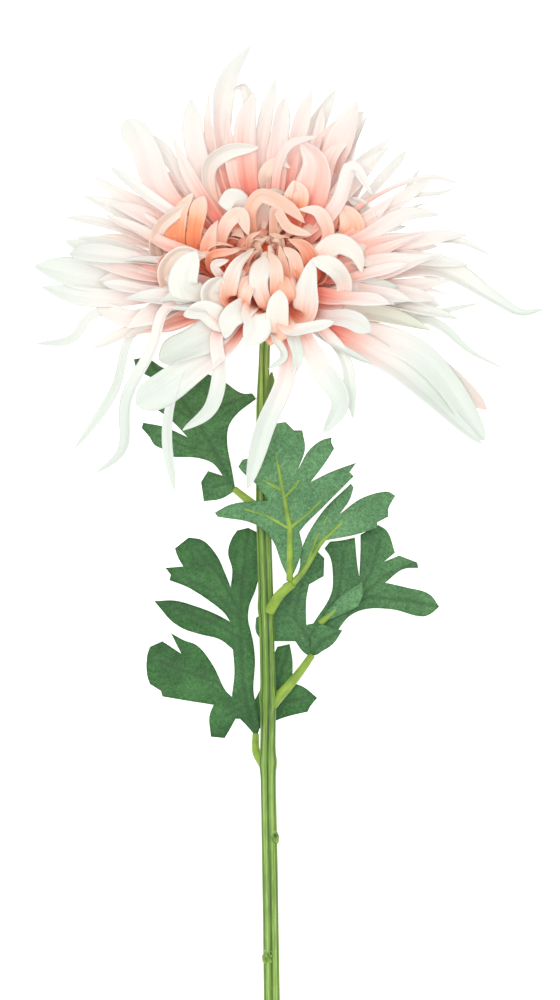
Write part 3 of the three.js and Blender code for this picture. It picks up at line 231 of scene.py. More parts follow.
# Petioles: the line and the radius at both its ends. Below them is the painted sheen of some
# leaves: how far a leaf's upper side is painted as pale as its underside, where light falls on it.
PETIOLES = {
    "leaf_upper_left": ([(-5.5, -5, -0.5), (-11, -0.5, -2.2), (-16.5, 4, -3.6)], 1.9, 1.2),
    "leaf_front": ([(-4, -40, 1.5), (0, -34, 4.6), (4.5, -30, 5.6)], 2.1, 1.5),
    "leaf_right": ([(-3, -74, -0.3), (6, -63.5, -2.4), (11.5, -56, -5)], 2, 1.3),
    "leaf_lower_left": ([(-5, -97, -0.5), (-8.5, -91, -3), (-8.8, -84.5, -6)], 1.8, 1.2),
}
PAINTED_SHEEN = {"leaf_upper_left": 0.3, "leaf_right": 0.4}

# Blades: the height at the base, the slope to the right and up, the fold along the rib and
# the curl down to the tip, whether the underside shows, the rib, both edges from the base to
# the tip, and the veins.
BLADES = [dict(
    leaf="leaf_upper_left",
    height=-4, slope=(0.12, -0.11), fold=0.1, curl=-2, under=False,
    rib=[(-16, 3.5), (-23.5, 17.5), (-29.5, 28), (-39, 41)],
    left=[
        (-21, 0.5), (-27.5, -0.5), (-28.5, 6.5), (-26, 10.5), (-20.7, 8.8), (-24, 13), (-29, 15),
        (-38.5, 15.5), (-40.5, 17.5), (-45.5, 20), (-47, 22.5), (-50, 26), (-49.5, 28),
        (-42, 26.5), (-33.5, 22.8), (-39, 28.5), (-45.5, 33.5), (-45, 39), (-44, 43), (-52, 47),
        (-53, 51),
    ],
    tip=(-48.5, 51.5),
    right=[
        (-17.5, 12), (-19, 20.5), (-18.5, 26.5), (-16, 30.5), (-8.5, 36.5), (-10, 38.5),
        (-13.5, 38.5), (-20.5, 43), (-27, 46), (-32, 43.5), (-36.5, 46), (-42.5, 48),
    ],
    veins=[
        [(-23.5, 17.5), (-33, 19), (-44, 23)], [(-29.5, 28), (-23, 33), (-13, 37)],
        [(-17.5, 6.5), (-24, 5)], [(-29.5, 28), (-38, 33)],
    ],
), dict(
    leaf="leaf_front",
    height=5.6, slope=(0.04, 0.16), fold=-0.14, curl=-3, under=True,
    rib=[(3.5, -29), (3.5, -10), (1.5, 1), (-1.5, 16)],
    left=[
        (1, -24), (-3, -14), (-8.5, -9), (-22.5, -6), (-23.5, -4.5), (-17.5, -1.5), (-4, -0.2),
        (-9, 6), (-13.5, 10), (-15, 12), (-13.5, 14.5), (-7, 16), (-5, 21.5), (-3, 25),
        (-1, 27.5),
    ],
    tip=(2, 28),
    right=[
        (6, -24), (8, -17), (7, -11.5), (8.5, -9.5), (15, -3), (26.5, 8.5), (25, 10),
        (27.5, 13.5), (18, 10), (11, 6.5), (16, 13), (19.5, 18.5), (18.5, 20.5), (18.5, 22.5),
        (15, 21.5), (10.5, 18), (6.5, 11), (9, 18.5), (8, 25), (5, 25),
    ],
    veins=[
        [(3.5, -10), (10, -5), (17, 2)], [(3, -10), (-5, -5.5), (-14, -3)],
        [(1.5, 1), (5.5, 5), (8.5, 10)], [(0.5, 3.5), (-4, 6), (-8, 8.5)],
    ],
), dict(
    leaf="leaf_front",
    height=5.4, slope=(0.05, 0.02), fold=-0.12, curl=-3, under=True,
    rib=[(4.5, -30), (8.5, -25.5), (15, -15), (23.5, -7)],
    left=[
        (7, -24.5), (7.5, -18.5), (15, -4.5), (25.5, 6), (26.5, 4.5), (25, 0), (21.5, -5),
        (29, 0.5), (37, 3), (39, 3),
    ],
    tip=(41.5, 1.5),
    right=[
        (8, -28), (12, -20.5), (16.5, -14.5), (27, -12.5), (35, -10), (35, -8), (39, -6),
        (39, -3),
    ],
    veins=[[(9, -25), (13, -14), (18, -4)]],
), dict(
    leaf="leaf_right",
    height=-5.4, slope=(0.07, 0.0), fold=0.08, curl=-3, under=False,
    rib=[(11, -56.5), (13, -51), (17, -44), (24, -37.5), (32.5, -35), (45, -36)],
    left=[
        (8.5, -55), (5.5, -51), (-6.5, -51), (-8.7, -47.5), (-8.7, -42.5), (-1.5, -38),
        (1, -30.5), (5, -28), (8, -26), (9.5, -19), (13.5, -18.5), (16, -21), (15.8, -27.5),
        (10.5, -30.5), (9.5, -36), (9.5, -45), (12, -44.5), (18.5, -33.5), (19, -26.5),
        (18, -20.5), (16, -17.5), (18, -15), (22.5, -14.5), (27, -13.5), (28, -24),
        (28.6, -27.5), (29, -18), (29, -12.5), (35.5, -9), (38.5, -11), (41.5, -19),
        (37.5, -22.3), (43, -20), (49.5, -22.5), (50, -24.5), (44.5, -25), (38, -29.8),
        (45.5, -31.5), (54, -34),
    ],
    tip=(57.5, -38.5),
    right=[
        (14, -55.5), (20.5, -47.5), (25, -42), (30.5, -39.5), (40.5, -39.5), (52, -42),
        (54.5, -41),
    ],
    veins=[
        [(17, -44), (21.5, -33), (23, -18)], [(26, -36.5), (33, -26), (36, -14)],
        [(28, -36), (38, -27), (47, -23.5)], [(12, -53), (5, -42), (8, -30)],
    ],
), dict(
    leaf="leaf_right",
    height=-4.6, slope=(0.16, 0.1), fold=0.05, curl=0, under=False,
    rib=[(11, -56), (15.5, -50.5)],
    left=[(11, -48.5), (14.5, -44.5)],
    tip=(22.5, -47),
    right=[(13.5, -55.3), (19, -52)],
    veins=[],
), dict(
    leaf="leaf_right",
    height=-4.2, slope=(0.1, 0.22), fold=0.1, curl=0, under=True,
    rib=[(14.5, -44.5), (21, -38.5)],
    left=[(16.5, -41), (21.5, -35)],
    tip=(29.5, -29.5),
    right=[(20.5, -42), (28, -38.5), (30, -33.5)],
    veins=[],
), dict(
    leaf="leaf_lower_left",
    height=-6.6, slope=(0.12, 0.0), fold=0.1, curl=-2, under=False,
    rib=[(-8.7, -85.5), (-11.3, -76.5), (-13.5, -65), (-14, -54), (-14.5, -43), (-13.5, -29)],
    left=[
        (-12, -81.5), (-14.5, -79), (-16, -79), (-18.5, -83.5), (-20, -86), (-25, -85.5),
        (-25.5, -78), (-24, -74), (-33.5, -72.5), (-42.5, -71), (-43, -69), (-47, -66.5),
        (-48, -63.5), (-48, -56), (-47, -53), (-42.5, -51), (-35.7, -55.5), (-39.5, -48),
        (-35, -50.5), (-30, -52.5), (-24, -60), (-19.5, -69), (-17.4, -71), (-16.5, -62.5),
        (-17, -54), (-21.5, -50.5), (-29, -48.5), (-35, -46.5), (-39.5, -43.5), (-43, -39.5),
        (-45.5, -36.5), (-38, -36.3), (-30, -38.5), (-22.5, -41.5), (-18, -44), (-20, -41),
        (-26.5, -35.8), (-33.5, -31.5), (-40, -29), (-39.5, -27), (-41.5, -24.5), (-35, -24),
        (-37, -20.5), (-38, -17.5), (-33, -13.5), (-28, -14.5), (-22.5, -20.5), (-20, -26),
        (-17.8, -31.5), (-17.3, -25), (-18.8, -19), (-17.5, -14), (-15.5, -11),
    ],
    tip=(-11.5, -10),
    right=[
        (-7.5, -83), (-8, -76.5), (-9.5, -69.5), (-9, -57.5), (-9.8, -50.5), (-10.5, -47.5),
        (-11.5, -43), (-11, -38), (-9, -33), (-7.5, -27), (-7, -18), (-8.5, -11.5),
    ],
    veins=[
        [(-12, -74), (-22, -66), (-34, -62), (-44, -58)], [(-12, -74), (-20, -78)],
        [(-14, -50), (-24, -44), (-38, -39)], [(-14.5, -43), (-24, -33), (-36, -27)],
        [(-14.5, -40), (-22, -27), (-30, -18)],
    ],
), dict(
    leaf="leaf_lower_left",
    height=-6.9, slope=(-0.12, 0.0), fold=0.06, curl=0, under=False,
    rib=[(-9.5, -82), (-2.5, -74), (-0.5, -66)],
    left=[(-10.8, -77), (-7, -68), (-3, -57.5), (-1, -53)],
    tip=(3.5, -52),
    right=[
        (-7, -82.5), (-1, -79.5), (3.5, -78), (10, -76.5), (11, -74.5), (13.5, -71.5),
        (8.5, -67.5), (4.5, -66), (4.5, -57.5),
    ],
    veins=[[(-2.5, -74), (9, -71.5)]],
)]


# ---- Frames and random draws ----
def head_direction(angle, lift=0.0):
    """Direction `lift` radians up from the head's plane, at `angle` round its axis."""
    level = cos(lift)
    return (HEAD_ACROSS * (level * cos(angle)) + HEAD_UP * (level * sin(angle))
            + HEAD_AXIS * sin(lift))


def head_point(radius, angle, height):
    return HEAD_CENTRE + head_direction(angle) * radius + HEAD_AXIS * height


def draw(i, k):
    """Steady random number from 0 to 1: draw number k of petal number i."""
    wave = sin(i * 12.9898 + k * 78.233) * 43758.5453
    return wave - wave // 1


def swing(i, k):
    return 2 * draw(i, k) - 1


def phase(i, k):
    """Steady random angle, in radians."""
    return 6.28 * draw(i, k)


# ---- Skins: points, faces and named values that the materials read ----
def new_object(name, data):
    made = bpy.data.objects.new(name, data)
    bpy.context.scene.collection.objects.link(made)
    return made


class Skin:
    def __init__(self, *value_names):
        self.points = []
        self.faces = []
        self.values = {name: [] for name in value_names}

    def add(self, point, **values):
        self.points.append(point * MM)
        for name, numbers in self.values.items():
            numbers.append(values.get(name, 0.0))
        return len(self.points) - 1

    def cover(self, rings):
        """Faces over rings of point numbers of equal count, with both ends closed."""
        count = len(rings[0])
        for ring, following in zip(rings, rings[1:]):
            for j in range(count):
                k = (j + 1) % count
                self.faces.append((ring[j], ring[k], following[k], following[j]))
        self.faces.append(tuple(reversed(rings[0])))
        self.faces.append(tuple(rings[-1]))

    def wrap(self, rows, sides, place):
        """A closed round body: place(row, turn) gives a point of it and that point's values."""
        rings = []
        for row in range(rows):
            ring = []
            for j in range(sides):
                point, values = place(row, 2 * pi * j / sides)
                ring.append(self.add(LAY_DOWN @ point, **values))
            rings.append(ring)
        self.cover(rings)

    def turned(self, profile, sides, **values):
        """A body round the head's axis: each ring of the profile is a radius and a height."""
        self.wrap(len(profile), sides, lambda row, turn: (
            head_point(profile[row][0], turn, profile[row][1]), values))

    def sheet(self, upper, lower, faces):
        """Both sides of a thin sheet of these faces, closed along its open edges."""
        edges = {}
        for face in faces:
            self.faces.append(tuple(upper[k] for k in face))
            self.faces.append(tuple(lower[k] for k in reversed(face)))
            for a, b in zip(face, face[1:] + face[:1]):
                edges[(a, b)] = True
        for a, b in edges:
            if (b, a) not in edges:
                self.faces.append((upper[b], upper[a], lower[a], lower[b]))

    def piece(self, name, material, slot, *nodes):
        mesh = bpy.data.meshes.new(name)
        mesh.from_pydata(self.points, [], self.faces)
        for value_name, numbers in self.values.items():
            layer = mesh.attributes.new(value_name, "FLOAT", "POINT")
            layer.data.foreach_set("value", numbers)
        mesh.shade_smooth()
        mesh.materials.append(material)
        mesh.validate()
        piece = new_object(name, mesh)
        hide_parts(*nodes)
        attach(piece, "root")


# ---- Materials: colours as seen on a screen, from 0 to 255 ----
def screen(colour):
    """A colour as the linear numbers of a shader."""
    linear = []
    for part in colour:
        share = part / 255
        linear.append(share / 12.92 if share <= 0.04045 else ((share + 0.055) / 1.055) ** 2.4)
    return (*linear, 1)


class Paint:
    """A material with short ways to make the nodes that lead to its shader."""

    def __init__(self, name, **settings):
        self.material = bpy.data.materials.new(name)
        self.material.use_nodes = True
        self.tree = self.material.node_tree
        self.shader = self.tree.nodes["Principled BSDF"]
        for socket, setting in settings.items():
            self.shader.inputs[socket.replace("_", " ")].default_value = setting

    def feed(self, socket, source):
        """Links a node's output to the socket, or sets it to a number or colour."""
        if isinstance(source, bpy.types.NodeSocket):
            self.tree.links.new(source, socket)
        else:
            socket.default_value = source

    def node(self, kind, **sources):
        node = self.tree.nodes.new("ShaderNode" + kind)
        for name, source in sources.items():
            self.feed(node.inputs[name], source)
        return node

    def value(self, name):
        node = self.node("Attribute")
        node.attribute_name = name
        return node.outputs["Fac"]

    def place(self):
        return self.node("TexCoord").outputs["Object"]

    def noise(self, place, scale, detail=2.0):
        return self.node("TexNoise", Vector=place, Scale=scale, Detail=detail).outputs["Fac"]

    def maths(self, operation, *sources, clamp=False):
        node = self.node("Math")
        node.operation = operation
        node.use_clamp = clamp
        for socket, source in zip(node.inputs, sources):
            self.feed(socket, source)
        return node.outputs[0]

    def moved(self, level, source, span, offset, clamp=False):
        """The level plus span times the source plus an offset."""
        shift = self.maths("MULTIPLY_ADD", source, span, offset)
        return self.maths("ADD", level, shift, clamp=clamp)

    def ramp(self, source, *stops):
        """Colours over a source; each stop is a place and a colour or a level of grey."""
        node = self.node("ValToRGB", Fac=source)
        elements = node.color_ramp.elements
        while len(elements) < len(stops):
            elements.new(0.5)
        for element, (place, colour) in zip(elements, stops):
            element.position = place
            is_colour = isinstance(colour, tuple)
            element.color = screen(colour) if is_colour else (colour, colour, colour, 1)
        return node.outputs["Color"]

    def shell_ramp(self, source, colours):
        return self.ramp(source, *[
            ((shell - SHELL_START) / SHELL_SPAN, colour) for shell, colour in colours])

    def mix(self, share, first, second, blend="MIX"):
        node = self.node("Mix")
        node.data_type = "RGBA"
        node.blend_type = blend
        sources = {"Factor": share, "A": first, "B": second}
        for socket in node.inputs:
            if socket.name in sources and socket.enabled:
                source = sources[socket.name]
                self.feed(socket, screen(source) if isinstance(source, tuple) else source)
        return next(output for output in node.outputs if output.enabled)

    def shade(self, colour, source, *stops):
        return self.mix(1.0, colour, self.ramp(source, *stops), "MULTIPLY")

    def finish(self, colour, relief, strength, distance):
        """The material, with this colour and with a fine relief."""
        bump = self.node("Bump", Height=relief, Strength=strength, Distance=distance)
        self.feed(self.shader.inputs["Base Color"], colour)
        self.feed(self.shader.inputs["Normal"], bump.outputs["Normal"])
        return self.material


SHELL_START = 0.3  # shares of the crown's own radius, where the colours of a petal begin
SHELL_SPAN = 2.3
RAY_COLOURS = (
    (0.55, (226, 92, 78)), (0.8, (248, 146, 128)), (0.95, (250, 180, 162)),
    (1.1, (249, 204, 191)), (1.3, (246, 224, 216)), (1.6, (238, 232, 225)),
    (1.95, (228, 231, 223)), (2.4, (218, 226, 216)),
)
CLAW_BACK_COLOURS = (
    (0.5, (228, 106, 78)), (0.64, (243, 148, 114)), (0.8, (246, 180, 150)),
    (0.96, (246, 206, 186)), (1.12, (243, 226, 214)), (1.35, (232, 232, 223)),
)
CLAW_FACE_COLOURS = (
    (0.5, (226, 84, 56)), (0.7, (244, 118, 76)), (0.85, (251, 138, 92)),
    (1.0, (252, 150, 102)), (1.15, (252, 172, 128)), (1.3, (249, 200, 170)),
)
CLAW_TIP_COLOUR = (248, 234, 224)
HEART_COLOUR = (226, 190, 163)
FLUSH_COLOUR = (247, 168, 160)
YELLOW_COLOUR = (252, 246, 214)
TINT_STEP = 40.0  # how far apart the patterns of petals with different tints lie


def petal_place(paint, across_scale, along_scale):
    """Coordinates that run with a petal, different for each petal."""
    return paint.node(
        "CombineXYZ",
        X=paint.maths("MULTIPLY", paint.value("across"), across_scale),
        Y=paint.maths("MULTIPLY", paint.value("along"), along_scale),
        Z=paint.maths("MULTIPLY", paint.value("tint"), TINT_STEP),
    ).outputs["Vector"]


def petal_material():
    paint = Paint("petal_silk", Roughness=0.6, Specular_IOR_Level=0.25,
                  Sheen_Weight=0.08, Sheen_Roughness=0.5)
    streaks = paint.noise(petal_place(paint, 3.0, 1.6), 1.6, 3.0)
    threads = paint.noise(petal_place(paint, 16.0, 2.2), 1.0)
    shell = paint.maths("MULTIPLY_ADD", paint.value("shell"), 1 / SHELL_SPAN,
                        -SHELL_START / SHELL_SPAN, clamp=True)
    shell = paint.moved(shell, streaks, 0.16, -0.08)
    shell = paint.moved(shell, paint.value("tint"), 0.2, -0.08)
    ray = paint.shell_ramp(shell, RAY_COLOURS)
    back = paint.shell_ramp(shell, CLAW_BACK_COLOURS)
    face = paint.shell_ramp(shell, CLAW_FACE_COLOURS)
    tip = paint.ramp(paint.value("along"), (0.7, 0), (1.0, 0.7))
    face = paint.mix(tip, face, CLAW_TIP_COLOUR)
    claw = paint.mix(paint.value("inner"), back, face)
    claw = paint.mix(paint.value("heart"), claw, HEART_COLOUR)
    base = paint.mix(paint.value("warm"), ray, claw)
    base = paint.mix(paint.value("flush"), base, FLUSH_COLOUR)
    base = paint.mix(paint.value("yellow"), base, YELLOW_COLOUR)
    base = paint.shade(base, threads, (0.3, 0.93), (0.7, 1.0))
    return paint.finish(base, threads, 0.35, 0.0004)


def leaf_material():
    paint = Paint("leaf_cloth", Roughness=0.62, Specular_IOR_Level=0.25,
                  Sheen_Weight=0.1, Sheen_Roughness=0.45)
    weave = paint.noise(paint.place(), 1500)
    blotches = paint.noise(paint.place(), 700, 3.0)
    patches = paint.noise(paint.place(), 90, 3.0)
    upper = paint.ramp(patches, (0.3, (34, 79, 33)), (0.5, (43, 94, 41)), (0.72, (60, 113, 55)))
    under = paint.ramp(patches, (0.3, (72, 119, 74)), (0.5, (80, 128, 80)), (0.7, (92, 140, 90)))
    # The under value is the underside's own paler colour, and on some upper sides a painted sheen.
    cloth = paint.mix(paint.value("under"), upper, under)
    cloth = paint.shade(cloth, weave, (0.35, 0.7), (0.65, 1.22))
    cloth = paint.shade(cloth, blotches, (0.35, 0.8), (0.65, 1.15))
    # Painted shade in the pressed creases of the rib and veins.
    crease = paint.maths("MULTIPLY", paint.value("vein"), 0.6)
    cloth = paint.mix(crease, cloth, (30, 72, 32))
    # A painted highlight on the pale line beside each crease.
    beside = paint.maths("MULTIPLY", paint.value("beside"), 0.07)
    cloth = paint.mix(beside, cloth, (124, 166, 112))
    return paint.finish(cloth, weave, 0.4, 0.0003)


def vein_material():
    paint = Paint("leaf_vein", Roughness=0.5)
    patches = paint.noise(paint.place(), 160)
    colour = paint.ramp(patches, (0.3, (96, 132, 28)), (0.7, (138, 170, 46)))
    return paint.finish(colour, patches, 0.2, 0.0003)


def stem_material():
    paint = Paint("stem_ridged", Roughness=0.5, Specular_IOR_Level=0.35)
    drawn_out = paint.node("Mapping", Vector=paint.place(), Scale=(1, 0.05, 1))
    streaks = paint.noise(drawn_out.outputs["Vector"], 1300)
    patches = paint.noise(paint.place(), 60, 3.0)
    grain = paint.noise(paint.place(), 900)
    level = paint.moved(paint.value("ridge"), patches, 0.4, -0.2, clamp=True)
    level = paint.moved(level, streaks, 0.5, -0.25, clamp=True)
    # The ridge value paints the grooves dark and the ridges pale yellow-green: painted shade in the
    # grooves and painted highlight on the ridges; the patches and streaks are the stem's own tone.
    colour = paint.ramp(
        level, (0.05, (34, 52, 10)), (0.3, (58, 88, 18)), (0.5, (78, 114, 30)),
        (0.75, (104, 142, 48)), (0.98, (146, 178, 82)),
    )
    colour = paint.mix(paint.value("scar"), colour, (34, 44, 22))
    colour = paint.mix(paint.value("cut"), colour, (196, 208, 150))
    return paint.finish(colour, paint.mix(0.6, grain, streaks), 0.35, 0.0003)


def cup_material():
    paint = Paint("cup_bracts", Roughness=0.6)
    patches = paint.noise(paint.place(), 300, 3.0)
    green = paint.ramp(patches, (0.3, (84, 118, 46)), (0.7, (126, 158, 76)))
    edge = paint.ramp(paint.value("across"), (0.6, 0), (1.0, 0.7))
    return paint.finish(paint.mix(edge, green, (176, 190, 132)), patches, 0.3, 0.0003)


# ---- Curves ----
def spline_points(points, per_span=14):
    """Centripetal Catmull-Rom curve through `points`, as close points."""
    ends = [points[0] * 2 - points[1], *points, points[-1] * 2 - points[-2]]
    curve = []
    for p0, p1, p2, p3 in zip(ends, ends[1:], ends[2:], ends[3:]):
        d0 = (p1 - p0).length ** 0.5
        d1 = (p2 - p1).length ** 0.5
        d2 = (p3 - p2).length ** 0.5
        m1 = ((p1 - p0) / d0 - (p2 - p0) / (d0 + d1) + (p2 - p1) / d1) * d1
        m2 = ((p2 - p1) / d1 - (p3 - p1) / (d1 + d2) + (p3 - p2) / d2) * d1
        for i in range(per_span):
            t = i / per_span
            curve.append(p1 + m1 * t + ((p2 - p1) * 3 - m1 * 2 - m2) * (t * t)
                         + ((p1 - p2) * 2 + m1 + m2) * (t * t * t))
    return curve + [points[-1]]


def smooth_line(points, steps):
    """Uniform Catmull-Rom curve through `points`, as steps + 1 points."""
    points = [Vector(p) for p in points]
    ends = [points[0] * 2 - points[1], *points, points[-1] * 2 - points[-2]]
    spans = len(points) - 1
    curve = []
    for i in range(steps + 1):
        share = spans * i / steps
        k = min(int(share), spans - 1)
        t = share - k
        before, a, b, after = ends[k:k + 4]
        curve.append(0.5 * (2 * a + (b - before) * t + (2 * before - 5 * a + 4 * b - after) * t * t
                            + (3 * a - before - 3 * b + after) * t ** 3))
    return curve


def bezier_points(corners, steps=40):
    curve = []
    for i in range(steps + 1):
        t = i / steps
        u = 1 - t
        curve.append(corners[0] * (u * u * u) + corners[1] * (3 * u * u * t)
                     + corners[2] * (3 * u * t * t) + corners[3] * (t * t * t))
    return curve


def places_along(curve, shares):
    """Points at these shares of the curve's length."""
    lengths = [0.0]
    for a, b in zip(curve, curve[1:]):
        lengths.append(lengths[-1] + (b - a).length)
    places = []
    k = 0
    for share in shares:
        reach = share * lengths[-1]
        while k + 2 < len(curve) and lengths[k + 1] < reach:
            k += 1
        t = (reach - lengths[k]) / (lengths[k + 1] - lengths[k])
        places.append(curve[k].lerp(curve[k + 1], t))
    return places


def tube_frames(points, steps):
    """A centre and two directions across, at each step of a smooth line."""
    curve = smooth_line(points, steps)
    frames = []
    normal = None
    for i, centre in enumerate(curve):
        along = (curve[min(i + 1, steps)] - curve[max(i - 1, 0)]).normalized()
        if normal is None:
            normal = along.orthogonal().normalized()
        normal = (normal - along * normal.dot(along)).normalized()
        frames.append((centre, normal, along.cross(normal)))
    return frames


def add_tube(skin, points, steps, sides, radius_at):
    """Tube along `points`; radius_at(share, turn, centre) is its radius and ridge value."""
    frames = tube_frames(points, steps)

    def place(row, turn):
        centre, normal, across = frames[row]
        radius, ridge = radius_at(row / steps, turn, centre)
        point = centre + normal * (radius * cos(turn)) + across * (radius * sin(turn))
        return point, {"ridge": ridge}

    skin.wrap(steps + 1, sides, place)


# ---- Petals ----
PETAL_ROWS = 40
PETAL_COLUMNS = 11
PETAL_THICKNESS = 0.34  # mm, as are the lowest heights of a petal's face and back
LOWEST_FACE = 0.15
LOWEST_BACK = 0.05

# Shares of a petal's length or width, in its form.
EDGE_THINNING = 0.6
TIP_CROWDING = 1.4
LAST_SHARE = 0.998
ROOT_WIDTH = 0.36
LEAST_WIDTH = 0.03
BEND_START = 0.6
LEAST_FACING = 0.05  # below this a petal points at the viewer and keeps its last way
EDGE_SWAY = 0.12
EDGE_RIPPLE = 0.05

# Sizes of the crown and its eye, and the shares by which a petal's colours shift.
CROWN_RADIUS = 40
CROWN_HEIGHT = 31
EYE_RADIUS = 17
EYE_FLOOR = 14
REAR_BLUSH = 0.19
EDGE_PALING = 0.09
FORE_WARMTH = 0.62
WARM_LENGTH = 0.7
FACE_FADING = 1.6
RAY_SHELL = 0.62
RAY_SHELL_SPAN = 0.95
PALING_START = 0.22
FLUSH_START = 0.55
FLUSH_SPAN = 0.45
FILL_MOTTLE = 0.5

# The numbers of a petal's draws. One that is placed by itself takes its twist from draw 1.
PLACED_TWIST = PLACE = 1
REACH = LIFT = 2
HEIGHT = LENGTH = 3
SKEW = SWAY = 4
WIDTH, TWIST, TINT = 5, 6, 12
PHASE, WAVES, LOPSIDED, RUFFLE, FOLD, BEND, CUP, MOTTLE = 21, 22, 23, 24, 25, 26, 31, 32
SLOW_EDGE, QUICK_EDGE, WIDEST, FULLNESS, ROUNDNESS = 41, 43, 51, 52, 53

# What a petal has when nothing else is said of it, and what the kinds have. Warm is 1 for
# the crown's colours, spread a share of the width, facing how far it turns to the viewer.
PLAIN = {"face": 1.0, "slim": 1, "blunt": 0, "yellow": 0.0, "flush": 0.0}
KIND_NAMES = ("warm", "paling", "spread", "cup", "bend", "facing", "sway")
KINDS = {
    "claw": (1.0, 0.15, 1.2, 0.16, 0.0, 0.85, 0.15),
    "fill": (1.0, -0.1, 1.15, 0.2, 0.0, 0.3, 0.3),
    "ray": (0.0, 2.2, 1.15, 0.25, 0.25, 0.45, 0.3),
    "strap": (0.0, 0.5, 1.1, 0.25, 0.4, 0.2, 0.4),
}

LAY_TURN = LAY_DOWN.to_3x3()
LAID_CENTRE = LAY_DOWN @ HEAD_CENTRE
LAID_AXIS = LAY_TURN @ HEAD_AXIS


def rested(point):
    """A point on the laid-down part: what would sink below the surface lies on it."""
    point = LAY_DOWN @ point
    above = point.z - REST_HEIGHT
    point.z = REST_HEIGHT + 0.5 * (above + sqrt(above * above + REST_SOFTNESS ** 2))
    return point


def shell_of(point):
    """Distance out from the head's centre, 1 at the crown's own surface."""
    apart = point - LAID_CENTRE
    height = apart.dot(LAID_AXIS)
    radius = (apart - LAID_AXIS * height).length
    return hypot(radius / CROWN_RADIUS, height / CROWN_HEIGHT)


def heart_share(point):
    """1 on the head's axis above the core, 0 beyond the eye."""
    apart = point - LAID_CENTRE
    height = apart.dot(LAID_AXIS)
    radius = sqrt(max(0.0, apart.length_squared - height * height))
    return max(0.0, 1 - radius / EYE_RADIUS) if height > EYE_FLOOR else 0.0


def edge_share(number, side_number, t):
    """How far this edge stands out at share t of the petal's length, about 1."""
    slow = sin(4.5 * t + phase(number, SLOW_EDGE + side_number))
    quick = sin(13 * t + phase(number, QUICK_EDGE + side_number))
    return 1 + EDGE_SWAY * slow + EDGE_RIPPLE * quick


def ribbon_share(petal, t):
    """Share of the full width at share t of the length, its own for each petal."""
    number = petal["number"]
    widest = 0.5 + 0.3 * draw(number, WIDEST)
    if t < widest:
        opening = sin((pi / 2) * (t / widest)) ** 0.8
        return ROOT_WIDTH + (1 - ROOT_WIDTH) * opening
    past = min(1.0, (t - widest) / (1 - widest))
    fullness = 1.4 + 1.3 * draw(number, FULLNESS) + petal["blunt"]
    return max(0.0, 1 - past ** fullness) ** (0.6 + 0.4 * draw(number, ROUNDNESS))


def petal_frames(petal):
    """The petal's shares, its middle at each, and the directions across and inwards."""
    number = petal["number"]
    shares = [1 - (1 - i / PETAL_ROWS) ** TIP_CROWDING for i in range(PETAL_ROWS + 1)]
    centres = [rested(p) for p in places_along(petal["curve"], shares)]
    length = sum((b - a).length for a, b in zip(centres, centres[1:]))
    bend = petal["bend"] * swing(number, BEND) * length
    front = LAY_TURN @ Vector((0, 0, 1))
    side = LAY_TURN @ head_direction(petal["angle"] + pi / 2)
    flat = side
    for i, t in enumerate(shares):
        along = (centres[min(i + 1, PETAL_ROWS)] - centres[max(i - 1, 0)]).normalized()
        side = (side - along * side.dot(along)).normalized()
        facing = along.cross(front)
        if facing.dot(flat) < 0:
            facing = -facing
        if facing.length > LEAST_FACING:
            flat = facing
        opened = side * (1 - petal["facing"]) + facing * petal["facing"]
        opened = (opened - along * opened.dot(along)).normalized()
        twist = petal["twist"] * t + petal["sway"] * sin(4 * t + phase(number, PHASE))
        turned = Quaternion(along, twist) @ opened
        inward = along.cross(turned)
        middle = centres[i] + inward * (bend * max(0.0, t - BEND_START) ** 2)
        yield t, middle, turned, inward


def petal_values(petal, t, middle):
    """What the petal's material reads at share t of its length."""
    rear = max(0.0, sin(petal["angle"]))
    fore = max(0.0, -sin(petal["angle"]))
    shell = shell_of(middle)
    if petal["warm"]:
        shell += fore * (petal["paling"] * t - FORE_WARMTH * max(0.0, 1 - t / WARM_LENGTH))
    else:
        shell = (1 - REAR_BLUSH * rear ** 2) * max(shell, RAY_SHELL + RAY_SHELL_SPAN * t)
        shell += petal["paling"] * fore * max(0.0, t - PALING_START)
    return {"along": t, "warm": petal["warm"], "shell": shell, "heart": heart_share(middle),
            "tint": draw(petal["number"], TINT), "yellow": petal["yellow"],
            "inner": petal["face"] * max(0.0, 1 - FACE_FADING * fore),
            "flush": petal["flush"] * max(0.0, t - FLUSH_START) / FLUSH_SPAN}


def cup_depth(petal, t):
    return petal["cup"] * (1.1 - 0.5 * t)


def face_rise(petal, t, u):
    """How far the face stands inwards at u across, as a share of half the width."""
    number = petal["number"]
    edge = u * u
    ruffle = 0.08 + 0.16 * draw(number, RUFFLE)
    waves = 5 + 6 * draw(number, WAVES)
    wave = sin(waves * t + phase(number, PHASE) + (2 if u > 0 else 0))
    fold = 0.12 + 0.2 * draw(number, FOLD)
    crease = fold * (1 - abs(u)) ** 2 + 0.03 * cos(4 * pi * u)
    lopsided = 0.3 * swing(number, LOPSIDED) * u * sin(pi * t)
    return cup_depth(petal, t) * edge + ruffle * wave * edge * abs(u) - crease + lopsided


